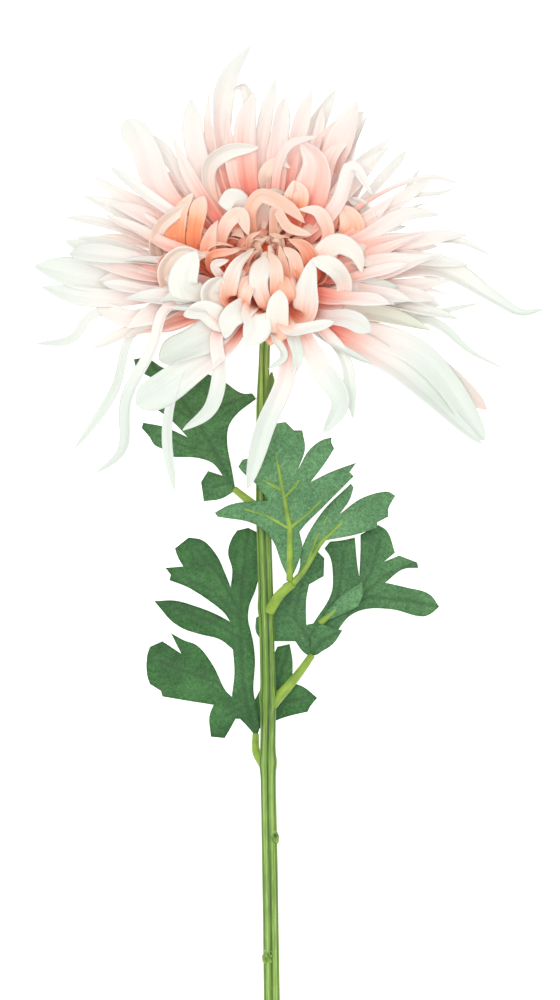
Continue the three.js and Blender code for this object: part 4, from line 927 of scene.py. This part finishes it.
def add_petal(skin, petal):
    """One cupped, creased strap as a closed thin shell, its flat face inwards."""
    rings = []
    for t, middle, turned, inward in petal_frames(petal):
        half = 0.5 * petal["width"] * petal["slim"]
        half *= max(LEAST_WIDTH, ribbon_share(petal, min(t, LAST_SHARE)))
        cup = cup_depth(petal, t)
        values = petal_values(petal, t, middle)
        shell = values["shell"]
        inner_row = []
        outer_row = []
        for j in range(PETAL_COLUMNS):
            u = 2 * j / (PETAL_COLUMNS - 1) - 1
            edge = u * u
            reach = half * edge_share(petal["number"], 0 if u < 0 else 1, t)
            point = middle + turned * (reach * u * (1 - 0.25 * cup * edge))
            point += inward * (half * face_rise(petal, t, u))
            under = point - inward * (PETAL_THICKNESS * (1 - EDGE_THINNING * edge))
            point.z = max(point.z, LOWEST_FACE)
            under.z = max(under.z, LOWEST_BACK)
            values.update({"across": u, "shell": shell + EDGE_PALING * edge})
            inner_row.append(skin.add(point, **values))
            outer_row.append(skin.add(under, **{**values, "inner": 0.0}))
        rings.append(inner_row + outer_row[::-1])
    skin.cover(rings)


def new_petal(number, kind, angle, width, curve, twist_draw=TWIST):
    petal = {**PLAIN, **dict(zip(KIND_NAMES, KINDS[kind]))}
    petal.update({"number": number, "angle": angle, "curve": curve})
    petal["width"] = petal["spread"] * width
    petal["cup"] *= 0.4 + 1.2 * draw(number, CUP)
    petal["twist"] = PETAL_TWIST * swing(number, twist_draw)
    return petal


def placed_petals(table, root_of, first_number, kind):
    petals = []
    for number, (line, width, *extras) in enumerate(table, first_number):
        first = Vector(line[0])
        angle = atan2(first.dot(HEAD_UP), first.dot(HEAD_ACROSS))
        places = [root_of(first, angle)] + [HEAD_CENTRE + Vector(place) for place in line]
        petal = new_petal(number, kind, angle, width, spline_points(places), PLACED_TWIST)
        for extra in extras:
            petal.update(extra)
        petals.append(petal)
    return petals


def claw_root(first, angle):
    radius = hypot(first.dot(HEAD_UP), first.dot(HEAD_ACROSS))
    return head_point(min(ROOT_RADIUS, ROOT_SHARE * radius), angle, CLAW_ROOT_HEIGHT)


def ray_root(first, angle):
    height = RAY_ROOT_LOW + RAY_ROOT_RISE * first.dot(HEAD_AXIS)
    return head_point(ROOT_RADIUS, angle, max(RAY_ROOT_LOW, min(RAY_ROOT_HIGH, height)))


def spaced_round(groups, first_number, number_step, unevenness, shift):
    """The sizes, number and angle of each petal of these rings or tiers."""
    for k, (count, front_end, *sizes) in enumerate(groups):
        for i in range(count):
            number = first_number + number_step * k + i
            place = i + unevenness * swing(number, PLACE) + shift * k
            angle = 2 * pi * place / count
            if -sin(angle) <= front_end:
                yield number, angle, *sizes


def fill_claws(fill_rings, first_number):
    petals = []
    places = spaced_round(fill_rings, first_number, number_step=100, unevenness=0.35, shift=0.37)
    for number, angle, reach, height, close, width in places:
        root = head_point(2 + 0.3 * reach, angle, 10 - 0.1 * reach)
        reach *= 1 + 0.1 * swing(number, REACH)
        height *= 1 + 0.12 * swing(number, HEIGHT)
        width *= 1 + 0.12 * swing(number, WIDTH)
        skew = 0.22 * swing(number, SKEW)
        curve = bezier_points([
            root,
            head_point(1.15 * reach, angle, 0.5 * height),
            head_point(1.2 * reach, angle + 0.5 * skew, 1.25 * height),
            head_point(close * reach, angle + skew, 1.02 * height),
        ])
        petals.append(new_petal(number, "fill", angle, width, curve))
        petals[-1]["paling"] += FILL_MOTTLE * swing(number, MOTTLE)
    return petals


SIDE_DIP = 0.48  # how much less the straps at both sides lift


def spreading_straps(tiers, first_number):
    petals = []
    places = spaced_round(tiers, first_number, number_step=1000, unevenness=0.42, shift=0.5)
    for number, angle, lift, droop, rise, length, width, arch, root_height in places:
        rear = max(0.0, sin(angle))
        fore = max(0.0, -sin(angle))
        lift = radians(lift * (1 - SIDE_DIP * (1 - rear)) - droop * sqrt(rear)
                       + rise * fore + 8 * swing(number, LIFT))
        length *= 1 - 0.48 * fore + 0.1 * rear + 0.18 * swing(number, LENGTH)
        width *= 1 + 0.15 * swing(number, WIDTH)
        sway = 8 * swing(number, SWAY)
        side = head_direction(angle + pi / 2)
        root = head_point(ROOT_RADIUS, angle, root_height)
        tip = root + head_direction(angle, lift) * length + side * sway
        curve = bezier_points([
            root,
            root + head_direction(angle) * (0.33 * length),
            root.lerp(tip, 0.68) + HEAD_AXIS * arch - side * (0.6 * sway),
            tip,
        ])
        petals.append(new_petal(number, "strap", angle, width, curve))
    return petals


def add_core(skin):
    """The warm heart that the petals grow from, seen only in the gaps of the crown."""
    profile = [(max(0.3, 0.9 * radius), 1.2 * height + 0.3) for radius, height in CORE_PROFILE]
    skin.turned(profile, sides=40, tint=0.3, warm=1.0, inner=1.0, shell=0.6)


def build_bloom(material):
    """Each set of petals has its own range of numbers, and so its own draws."""
    claws = placed_petals(CLAWS, claw_root, 3000, "claw")
    curls = placed_petals(EYE_CURLS, claw_root, 3500, "claw")
    rays = placed_petals(RAYS, ray_root, 4000, "ray")
    fill = fill_claws(FILL_RINGS, 100) + fill_claws(MORE_RINGS, 9100)
    straps = spreading_straps(STRAP_TIERS, 1000) + spreading_straps(MORE_TIERS, 6000)
    for name, petals in (("crown_claws", claws + curls), ("crown_fill", fill),
                         ("straps", straps), ("rays", rays)):
        skin = Skin("along", "across", "inner", "warm", "tint", "shell", "heart", "yellow", "flush")
        if name == "crown_fill":
            add_core(skin)
        for petal in petals:
            add_petal(skin, petal)
        skin.piece(name, material, "petals", "bloom")


# ---- Stem ----
STEM_ROWS = 420
STEM_SIDES = 72
SIDE_KNOBS = 2  # the first ones stand out on one side, the others swell the stem
KNOB_STRETCH = 1.3
KNOB_SHARE = 0.9
KNOB_INSET = 0.9
KNOB_HOLLOW = Vector((0.25, 0.3, 0.9))
KNOB_DARKNESS = 1.6
SCAR_CENTRE = (-3.5, -163.4, 2.3)
SCAR_SIZE = 1.0
SCAR_DARKNESS = 3.0
SWELLING = 0.6
SWELLING_LENGTH = 3.2
SWELLING_FROM = 2.4
NECK_START = 34
NECK_LENGTH = 12
NECK_LOSS = 0.2
STUB_BASE = Vector((-4.9, 31, -0.6))
CUT_PROFILE = [(0.97, -0.02), (0.8, 0.06), (0.35, 0.0), (0.05, -0.25)]
LEAF_SHADE_START = -95
LEAF_SHADE_END = 25
LEAF_SHADE_LENGTH = 15
LEAF_SHADE = 0.16


def stem_radius(share, turn, centre):
    """The stem's radius and its ridge value, 1 on a ridge and 0 in a groove, lower where the leaves
    shade the stem; the colour turns it into painted shade and highlight.
    """
    base = STEM_RADIUS_CUT + (STEM_RADIUS_NECK - STEM_RADIUS_CUT) * share
    drift = 0.5 * sin(9 * share) + 0.3 * sin(23 * share + 1)
    ridge = abs(cos(3 * turn + 0.6 + 0.8 * drift)) ** 0.55
    fine = 0.5 + 0.5 * cos(17 * turn - 2 * drift + 3 * sin(11 * share))
    swelling = 0.0
    for place, size in STEM_KNOBS[SIDE_KNOBS:]:
        away = (centre.y - place[1]) / SWELLING_LENGTH
        swelling += (size - SWELLING_FROM) * SWELLING * exp(-away * away)
    neck = max(0.0, min(1.0, (centre.y - NECK_START) / NECK_LENGTH))
    base *= 1 - NECK_LOSS * neck
    radius = base * (0.98 - 0.2 * (1 - ridge) - 0.035 * (1 - fine)) + swelling
    within = min(centre.y - LEAF_SHADE_START, LEAF_SHADE_END - centre.y)
    shaded = max(0.0, min(1.0, within / LEAF_SHADE_LENGTH))
    return radius, 0.78 * ridge + 0.22 * fine - LEAF_SHADE * shaded


def add_cut_end(skin):
    """The plain cut across the foot of the stem, a little hollow in its middle."""
    centre = Vector(STEM_PATH[0])

    def place(row, turn):
        share, depth = CUT_PROFILE[row]
        radius = share * stem_radius(0.0, turn, centre)[0] * 0.97
        offset = Vector((radius * cos(turn), -0.05 - depth, radius * sin(turn)))
        return centre + offset, {"ridge": 0.5, "cut": 1.0 if share < 0.9 else 0.4}

    skin.wrap(len(CUT_PROFILE), STEM_SIDES, place)


def add_knob(skin, centre, size, number, darkness):
    """A small rough lump, the scar of a shoot, with a dark hollow in front."""
    rows = 18

    def place(row, turn):
        polar = pi * (0.02 + 0.96 * row / rows)
        way = Vector((sin(polar) * cos(turn), cos(polar),
                      sin(polar) * sin(turn)))
        lump = 0.08 * sin(5 * way.x + 3 * way.y + number) + 0.05 * sin(9 * way.y)
        hollow = max(0.0, 1 - (way - KNOB_HOLLOW).length / 0.5)
        radius = size * (1 + lump - 0.3 * hollow)
        point = centre + Vector((way.x, KNOB_STRETCH * way.y, way.z)) * radius
        return point, {"ridge": 0.7 + 2 * lump, "scar": min(1, darkness * hollow)}

    skin.wrap(rows + 1, sides=24, place=place)


def add_stub(skin):
    """The torn stub of a bract on the stem, just under the head."""
    rows = 26

    def place(row, turn):
        t = row / rows
        middle = STUB_BASE + Vector((0.2 + 2.2 * t - 0.5 * t * t, 15 * t, 0.3 * t))
        half = (1.1 + 0.5 * sin(pi * t)) * (1 - 0.6 * t ** 6)
        half *= 1 + 0.1 * sin(17 * t) + 0.07 * sin(31 * t + 1)
        thick = 1.25 * (1 - t) + 0.4
        point = middle + Vector((half * cos(turn), 0, thick * sin(turn)))
        return point, {"ridge": 0.35 + 0.3 * abs(cos(turn))}

    skin.wrap(rows + 1, sides=16, place=place)


def build_stem(material):
    skin = Skin("ridge", "scar", "cut")
    add_tube(skin, STEM_PATH, STEM_ROWS, STEM_SIDES, stem_radius)
    add_cut_end(skin)
    for number, (centre, size) in enumerate(STEM_KNOBS[:SIDE_KNOBS]):
        inset = Vector((KNOB_INSET if number else -KNOB_INSET, 0, 0.4))
        add_knob(skin, Vector(centre) + inset, KNOB_SHARE * size, number, KNOB_DARKNESS)
    add_knob(skin, Vector(SCAR_CENTRE), SCAR_SIZE, SIDE_KNOBS, SCAR_DARKNESS)
    add_stub(skin)
    skin.piece("ridged_stem", material, "stem", "stem")


# ---- Involucre ----
CUP_PROFILE = [
    (3.6, -12.5), (4.7, -9.1), (7.4, -6.4), (9.4, -4.4), (10.6, -2.6), (11, -1.6), (10.6, -1),
    (0.3, -1),
]
# Rows of bracts: how many, shift round the cup, radius, height, length and half width.
BRACT_ROWS = [
    (11, 0.0, 11.2, -1.4, 6.4, 2.0), (11, 0.5, 9.4, -3.6, 6, 1.9), (10, 0.2, 6.6, -6.6, 5, 1.6),
]


def cup_radius(height):
    for (r0, h0), (r1, h1) in zip(CUP_PROFILE, CUP_PROFILE[1:]):
        if h0 <= height <= h1:
            return r0 + (r1 - r0) * (height - h0) / (h1 - h0)
    return CUP_PROFILE[0][0]


def add_bract(skin, angle, number, row_radius, top, length, widest):
    """A thin pointed bract pressed against the cup."""
    rows, columns = 12, 7
    side = head_direction(angle + pi / 2)
    out = head_direction(angle)
    rings = []
    for i in range(rows + 1):
        t = i / rows
        height = top - length * (1 - t)
        stand = 0.25 + 0.5 * t * t + 0.25 * draw(number, LENGTH)
        radius = min(cup_radius(height), row_radius - 0.4) + stand
        half = widest * (0.7 + 0.3 * sin(pi * t)) * max(0.05, 1 - t ** 3) ** 0.8
        inner = []
        outer = []
        for j in range(columns):
            u = 2 * j / (columns - 1) - 1
            spot = head_point(radius - 0.28 * half * u * u, angle, height) + side * (half * u)
            keel = 0.22 * (1 - abs(u))
            across = max(abs(u), t ** 4)
            outer.append(skin.add(LAY_DOWN @ (spot + out * keel), across=across))
            inner.append(skin.add(LAY_DOWN @ (spot - out * 0.3), across=across))
        rings.append(outer + inner[::-1])
    skin.cover(rings)


def build_involucre(material):
    skin = Skin("across")
    skin.turned(CUP_PROFILE, sides=44)
    number = 0
    for count, shift, *sizes in BRACT_ROWS:
        for i in range(count):
            number += 1
            place = i + shift + 0.12 * swing(number, PLACE)
            add_bract(skin, 2 * pi * place / count, number, *sizes)
    skin.piece("bract_cup", material, "cup", "involucre")


# ---- Leaves ----
CORNER = radians(38)  # where a leaf's edge turns more than this, it stays sharp
BLADE_SPACING = 1.0
BLADE_THICKNESS = 0.55
BLADE_DROP = 0.5
ROW_STEP = 0.87  # share of the spacing
EDGE_CLEARANCE = 0.75
VEIN_WIDTH = 0.9
VEIN_RELIEF = 0.28
VEIN_FINENESS = 1.25  # of the veins' creases beside the rib's
# The pale line beside a crease is a painted highlight.
CREASE_HIGHLIGHT_DISTANCE = 1.3  # of the pale line beside a crease
CREASE_HIGHLIGHT_WIDTH = 0.7
RIB_RADIUS = 1.25  # of the raised ribs and veins
VEIN_RADIUS = 0.7
VEIN_TAPER = 0.65
VEIN_STEPS = 5
VEIN_DEPTH = 0.1
VEIN_END_DEPTH = 0.3
RIB_SHADE = 0.5


def distance_to_path(x, y, path):
    best = 1e9
    for (ax, ay), (bx, by) in zip(path, path[1:]):
        dx, dy = bx - ax, by - ay
        t = max(0.0, min(1.0, ((x - ax) * dx + (y - ay) * dy) / (dx * dx + dy * dy)))
        best = min(best, hypot(x - ax - t * dx, y - ay - t * dy))
    return best


def blade_height(blade, x, y):
    base_x, base_y = blade["rib"][0]
    tip_x, tip_y = blade["tip"]
    share = hypot(x - base_x, y - base_y) / hypot(tip_x - base_x, tip_y - base_y)
    aside = distance_to_path(x, y, blade["rib"] + [blade["tip"]])
    return (blade["height"] + blade["slope"][0] * (x - base_x)
            + blade["slope"][1] * (y - base_y) + blade["curl"] * share * share
            + blade["fold"] * aside)


def fine_outline(blade):
    """The blade's edge with smooth lobes and crisp teeth, as closely set points."""
    corners = [Vector(p) for p in (
        [blade["rib"][0]] + blade["left"] + [blade["tip"]] + blade["right"][::-1])]
    following = corners[1:] + corners[:1]
    tangents = []
    for i, (corner, ahead) in enumerate(zip(corners, following)):
        before = corner - corners[i - 1]
        after = ahead - corner
        sharp = before.angle(after) > CORNER
        tangents.append(None if sharp else (before.normalized() + after.normalized()).normalized())
    outline = []
    for a, b, leaving, arriving in zip(corners, following, tangents, tangents[1:] + tangents[:1]):
        length = (b - a).length
        start = (leaving or (b - a).normalized()) * length
        end = (arriving or (b - a).normalized()) * length
        steps = max(1, round(length / BLADE_SPACING))
        for k in range(steps):
            t = k / steps
            h = t * t * (3 - 2 * t)
            outline.append(a * (1 - h) + b * h + start * (t * (1 - t) ** 2)
                           - end * (t * t * (1 - t)))
    return outline


def inside(point, outline):
    hit = False
    for a, b in zip(outline, outline[1:] + outline[:1]):
        if (a.y > point.y) != (b.y > point.y):
            if point.x < a.x + (b.x - a.x) * (point.y - a.y) / (b.y - a.y):
                hit = not hit
    return hit


def blade_mesh(blade):
    """Corners and triangles of a blade: its edge and even rows of points within."""
    outline = fine_outline(blade)
    points = list(outline)
    low_x = min(p.x for p in outline)
    low_y = min(p.y for p in outline)
    row_step = ROW_STEP * BLADE_SPACING
    rows = int((max(p.y for p in outline) - low_y) / row_step)
    columns = int((max(p.x for p in outline) - low_x) / BLADE_SPACING)
    for row in range(rows + 1):
        for column in range(columns + 1):
            point = Vector((low_x + BLADE_SPACING * (column + 0.5 * (row % 2)),
                            low_y + row_step * row))
            if inside(point, outline) and all(
                    abs(point.x - p.x) + abs(point.y - p.y) > EDGE_CLEARANCE for p in outline):
                points.append(point)
    edges = [(i, (i + 1) % len(outline)) for i in range(len(outline))]
    found = delaunay_2d_cdt(points, edges, [], 1, 1e-5)
    return found[0], found[2]


def add_blade(skin, blade, painted_sheen):
    """A blade as a thin sheet, with its veins creased in, or raised where it shows under."""
    corners, faces = blade_mesh(blade)
    under = blade["under"]
    rib = blade["rib"] + [blade["tip"]]
    upper = []
    lower = []
    for x, y in corners:
        away = distance_to_path(x, y, rib)
        for line in blade["veins"]:
            away = min(away, VEIN_FINENESS * distance_to_path(x, y, line))
        # The vein value presses each crease in and paints shade into it on the upper side.
        vein = exp(-(away / VEIN_WIDTH) ** 2)
        # A painted highlight along the edges beside each crease.
        beside = exp(-((away - CREASE_HIGHLIGHT_DISTANCE) / CREASE_HIGHLIGHT_WIDTH) ** 2)
        ripple = 0.25 * sin(0.55 * x + 0.9) * sin(0.5 * y) + 0.5 * exp(-away / 6)
        relief = VEIN_RELIEF * vein if under else -VEIN_RELIEF * vein
        height = blade_height(blade, x, y) + relief + ripple - BLADE_DROP
        # A blade whose upper side shows takes its leaf's painted sheen as a share of the
        # underside's colours.
        upper.append(skin.add(
            LAY_DOWN @ Vector((x, y, height)), under=1.0 if under else painted_sheen,
            vein=0.0 if under else vein, beside=0.0 if under else beside))
        lower.append(skin.add(
            LAY_DOWN @ Vector((x, y, height - BLADE_THICKNESS)), under=0.0 if under else 1.0))
    skin.sheet(upper, lower, faces)


def add_raised_veins(skin, blade):
    """Thin tubes along the rib and the veins of a blade."""
    for line in [blade["rib"], *blade["veins"]]:
        start = RIB_RADIUS if line is blade["rib"] else VEIN_RADIUS
        path = []
        for (ax, ay), (bx, by) in zip(line, line[1:]):
            for k in range(VEIN_STEPS):
                t = k / VEIN_STEPS
                x, y = ax + (bx - ax) * t, ay + (by - ay) * t
                path.append((x, y, blade_height(blade, x, y) - VEIN_DEPTH))
        x, y = line[-1]
        path.append((x, y, blade_height(blade, x, y) - VEIN_END_DEPTH))
        add_tube(skin, path, 3 * len(path), sides=10, radius_at=lambda share, turn, centre: (
            start * (1 - VEIN_TAPER * share), RIB_SHADE))


def build_leaves(cloth, vein):
    for name, (line, thick, thin) in PETIOLES.items():
        skin = Skin("under", "vein", "beside")
        ribs = Skin("ridge")
        add_tube(ribs, line, steps=24, sides=14, radius_at=lambda share, turn, centre: (
            thick + (thin - thick) * share, RIB_SHADE))
        for blade in BLADES:
            if blade["leaf"] == name:
                add_blade(skin, blade, PAINTED_SHEEN.get(name, 0.0))
                if blade["under"]:
                    add_raised_veins(ribs, blade)
        skin.piece(name + "_blade", cloth, "leaves", name)
        ribs.piece(name + "_ribs", vein, "leaves", name)


# ---- Stage ----
CAMERA_DISTANCE = 2500  # mm
SENSOR = 36
VIEW_GAMMA = 1.12
VIEW_HEIGHT = 360  # mm of the stem plane from the top of the view to its foot
FLOOR_REACH = 3.0  # m
WHITE = (1, 1, 1, 1)


def build_stage():
    mesh = bpy.data.meshes.new("floor")
    size = FLOOR_REACH
    mesh.from_pydata([(-size, -size, 0), (size, -size, 0), (size, size, 0), (-size, size, 0)],
                     [], [(0, 1, 2, 3)])
    paint = Paint("floor_white", Base_Color=(0.9, 0.9, 0.9, 1), Roughness=0.9,
                  Emission_Color=WHITE, Emission_Strength=0.75)
    mesh.materials.append(paint.material)
    floor = new_object("floor", mesh)


def add_light(name, place, target, size, power):
    light = bpy.data.lights.new(name, "AREA")
    light.shape = "DISK"
    light.size = size
    light.energy = power
    lamp = new_object(name, light)
    lamp.location = place
    lamp.rotation_euler = (Vector(target) - Vector(place)).to_track_quat("-Z", "Y").to_euler()


def build_lights():
    world = bpy.data.worlds.new("studio")
    bpy.context.scene.world = world
    world.use_nodes = True
    background = world.node_tree.nodes["Background"]
    background.inputs["Color"].default_value = WHITE
    background.inputs["Strength"].default_value = 0.72
    add_light("front", (-0.1, -0.05, 2.0), (0, 0.05, 0), 1.3, 21)
    add_light("key", (-0.9, 0.9, 1.5), (0, 0.08, 0), 1.2, 3)
    add_light("fill", (1.1, -0.5, 1.2), (0, 0, 0), 1.5, 1.5)
    bpy.context.scene.view_settings.view_transform = "Standard"
    bpy.context.scene.view_settings.gamma = VIEW_GAMMA


def build_camera():
    camera = bpy.data.cameras.new("photo_view")
    camera.lens = SENSOR * CAMERA_DISTANCE / VIEW_HEIGHT
    camera.sensor_width = SENSOR
    camera.clip_end = 20
    away = (LAY_TURN @ Vector((0, 0, 1))).normalized()
    up = (LAY_TURN @ Vector((0, 1, 0))).normalized()
    turn = Matrix((up.cross(away), up, away)).transposed().to_4x4()
    place = (LAY_DOWN @ Vector((0, 0, 0))) * MM + away * (CAMERA_DISTANCE * MM)
    eye = new_object("photo_view", camera)
    eye.matrix_world = Matrix.Translation(place) @ turn
    bpy.context.scene.camera = eye


build_bloom(petal_material())
build_leaves(leaf_material(), vein_material())
build_stem(stem_material())
build_involucre(cup_material())
build_stage()
build_lights()
build_camera()
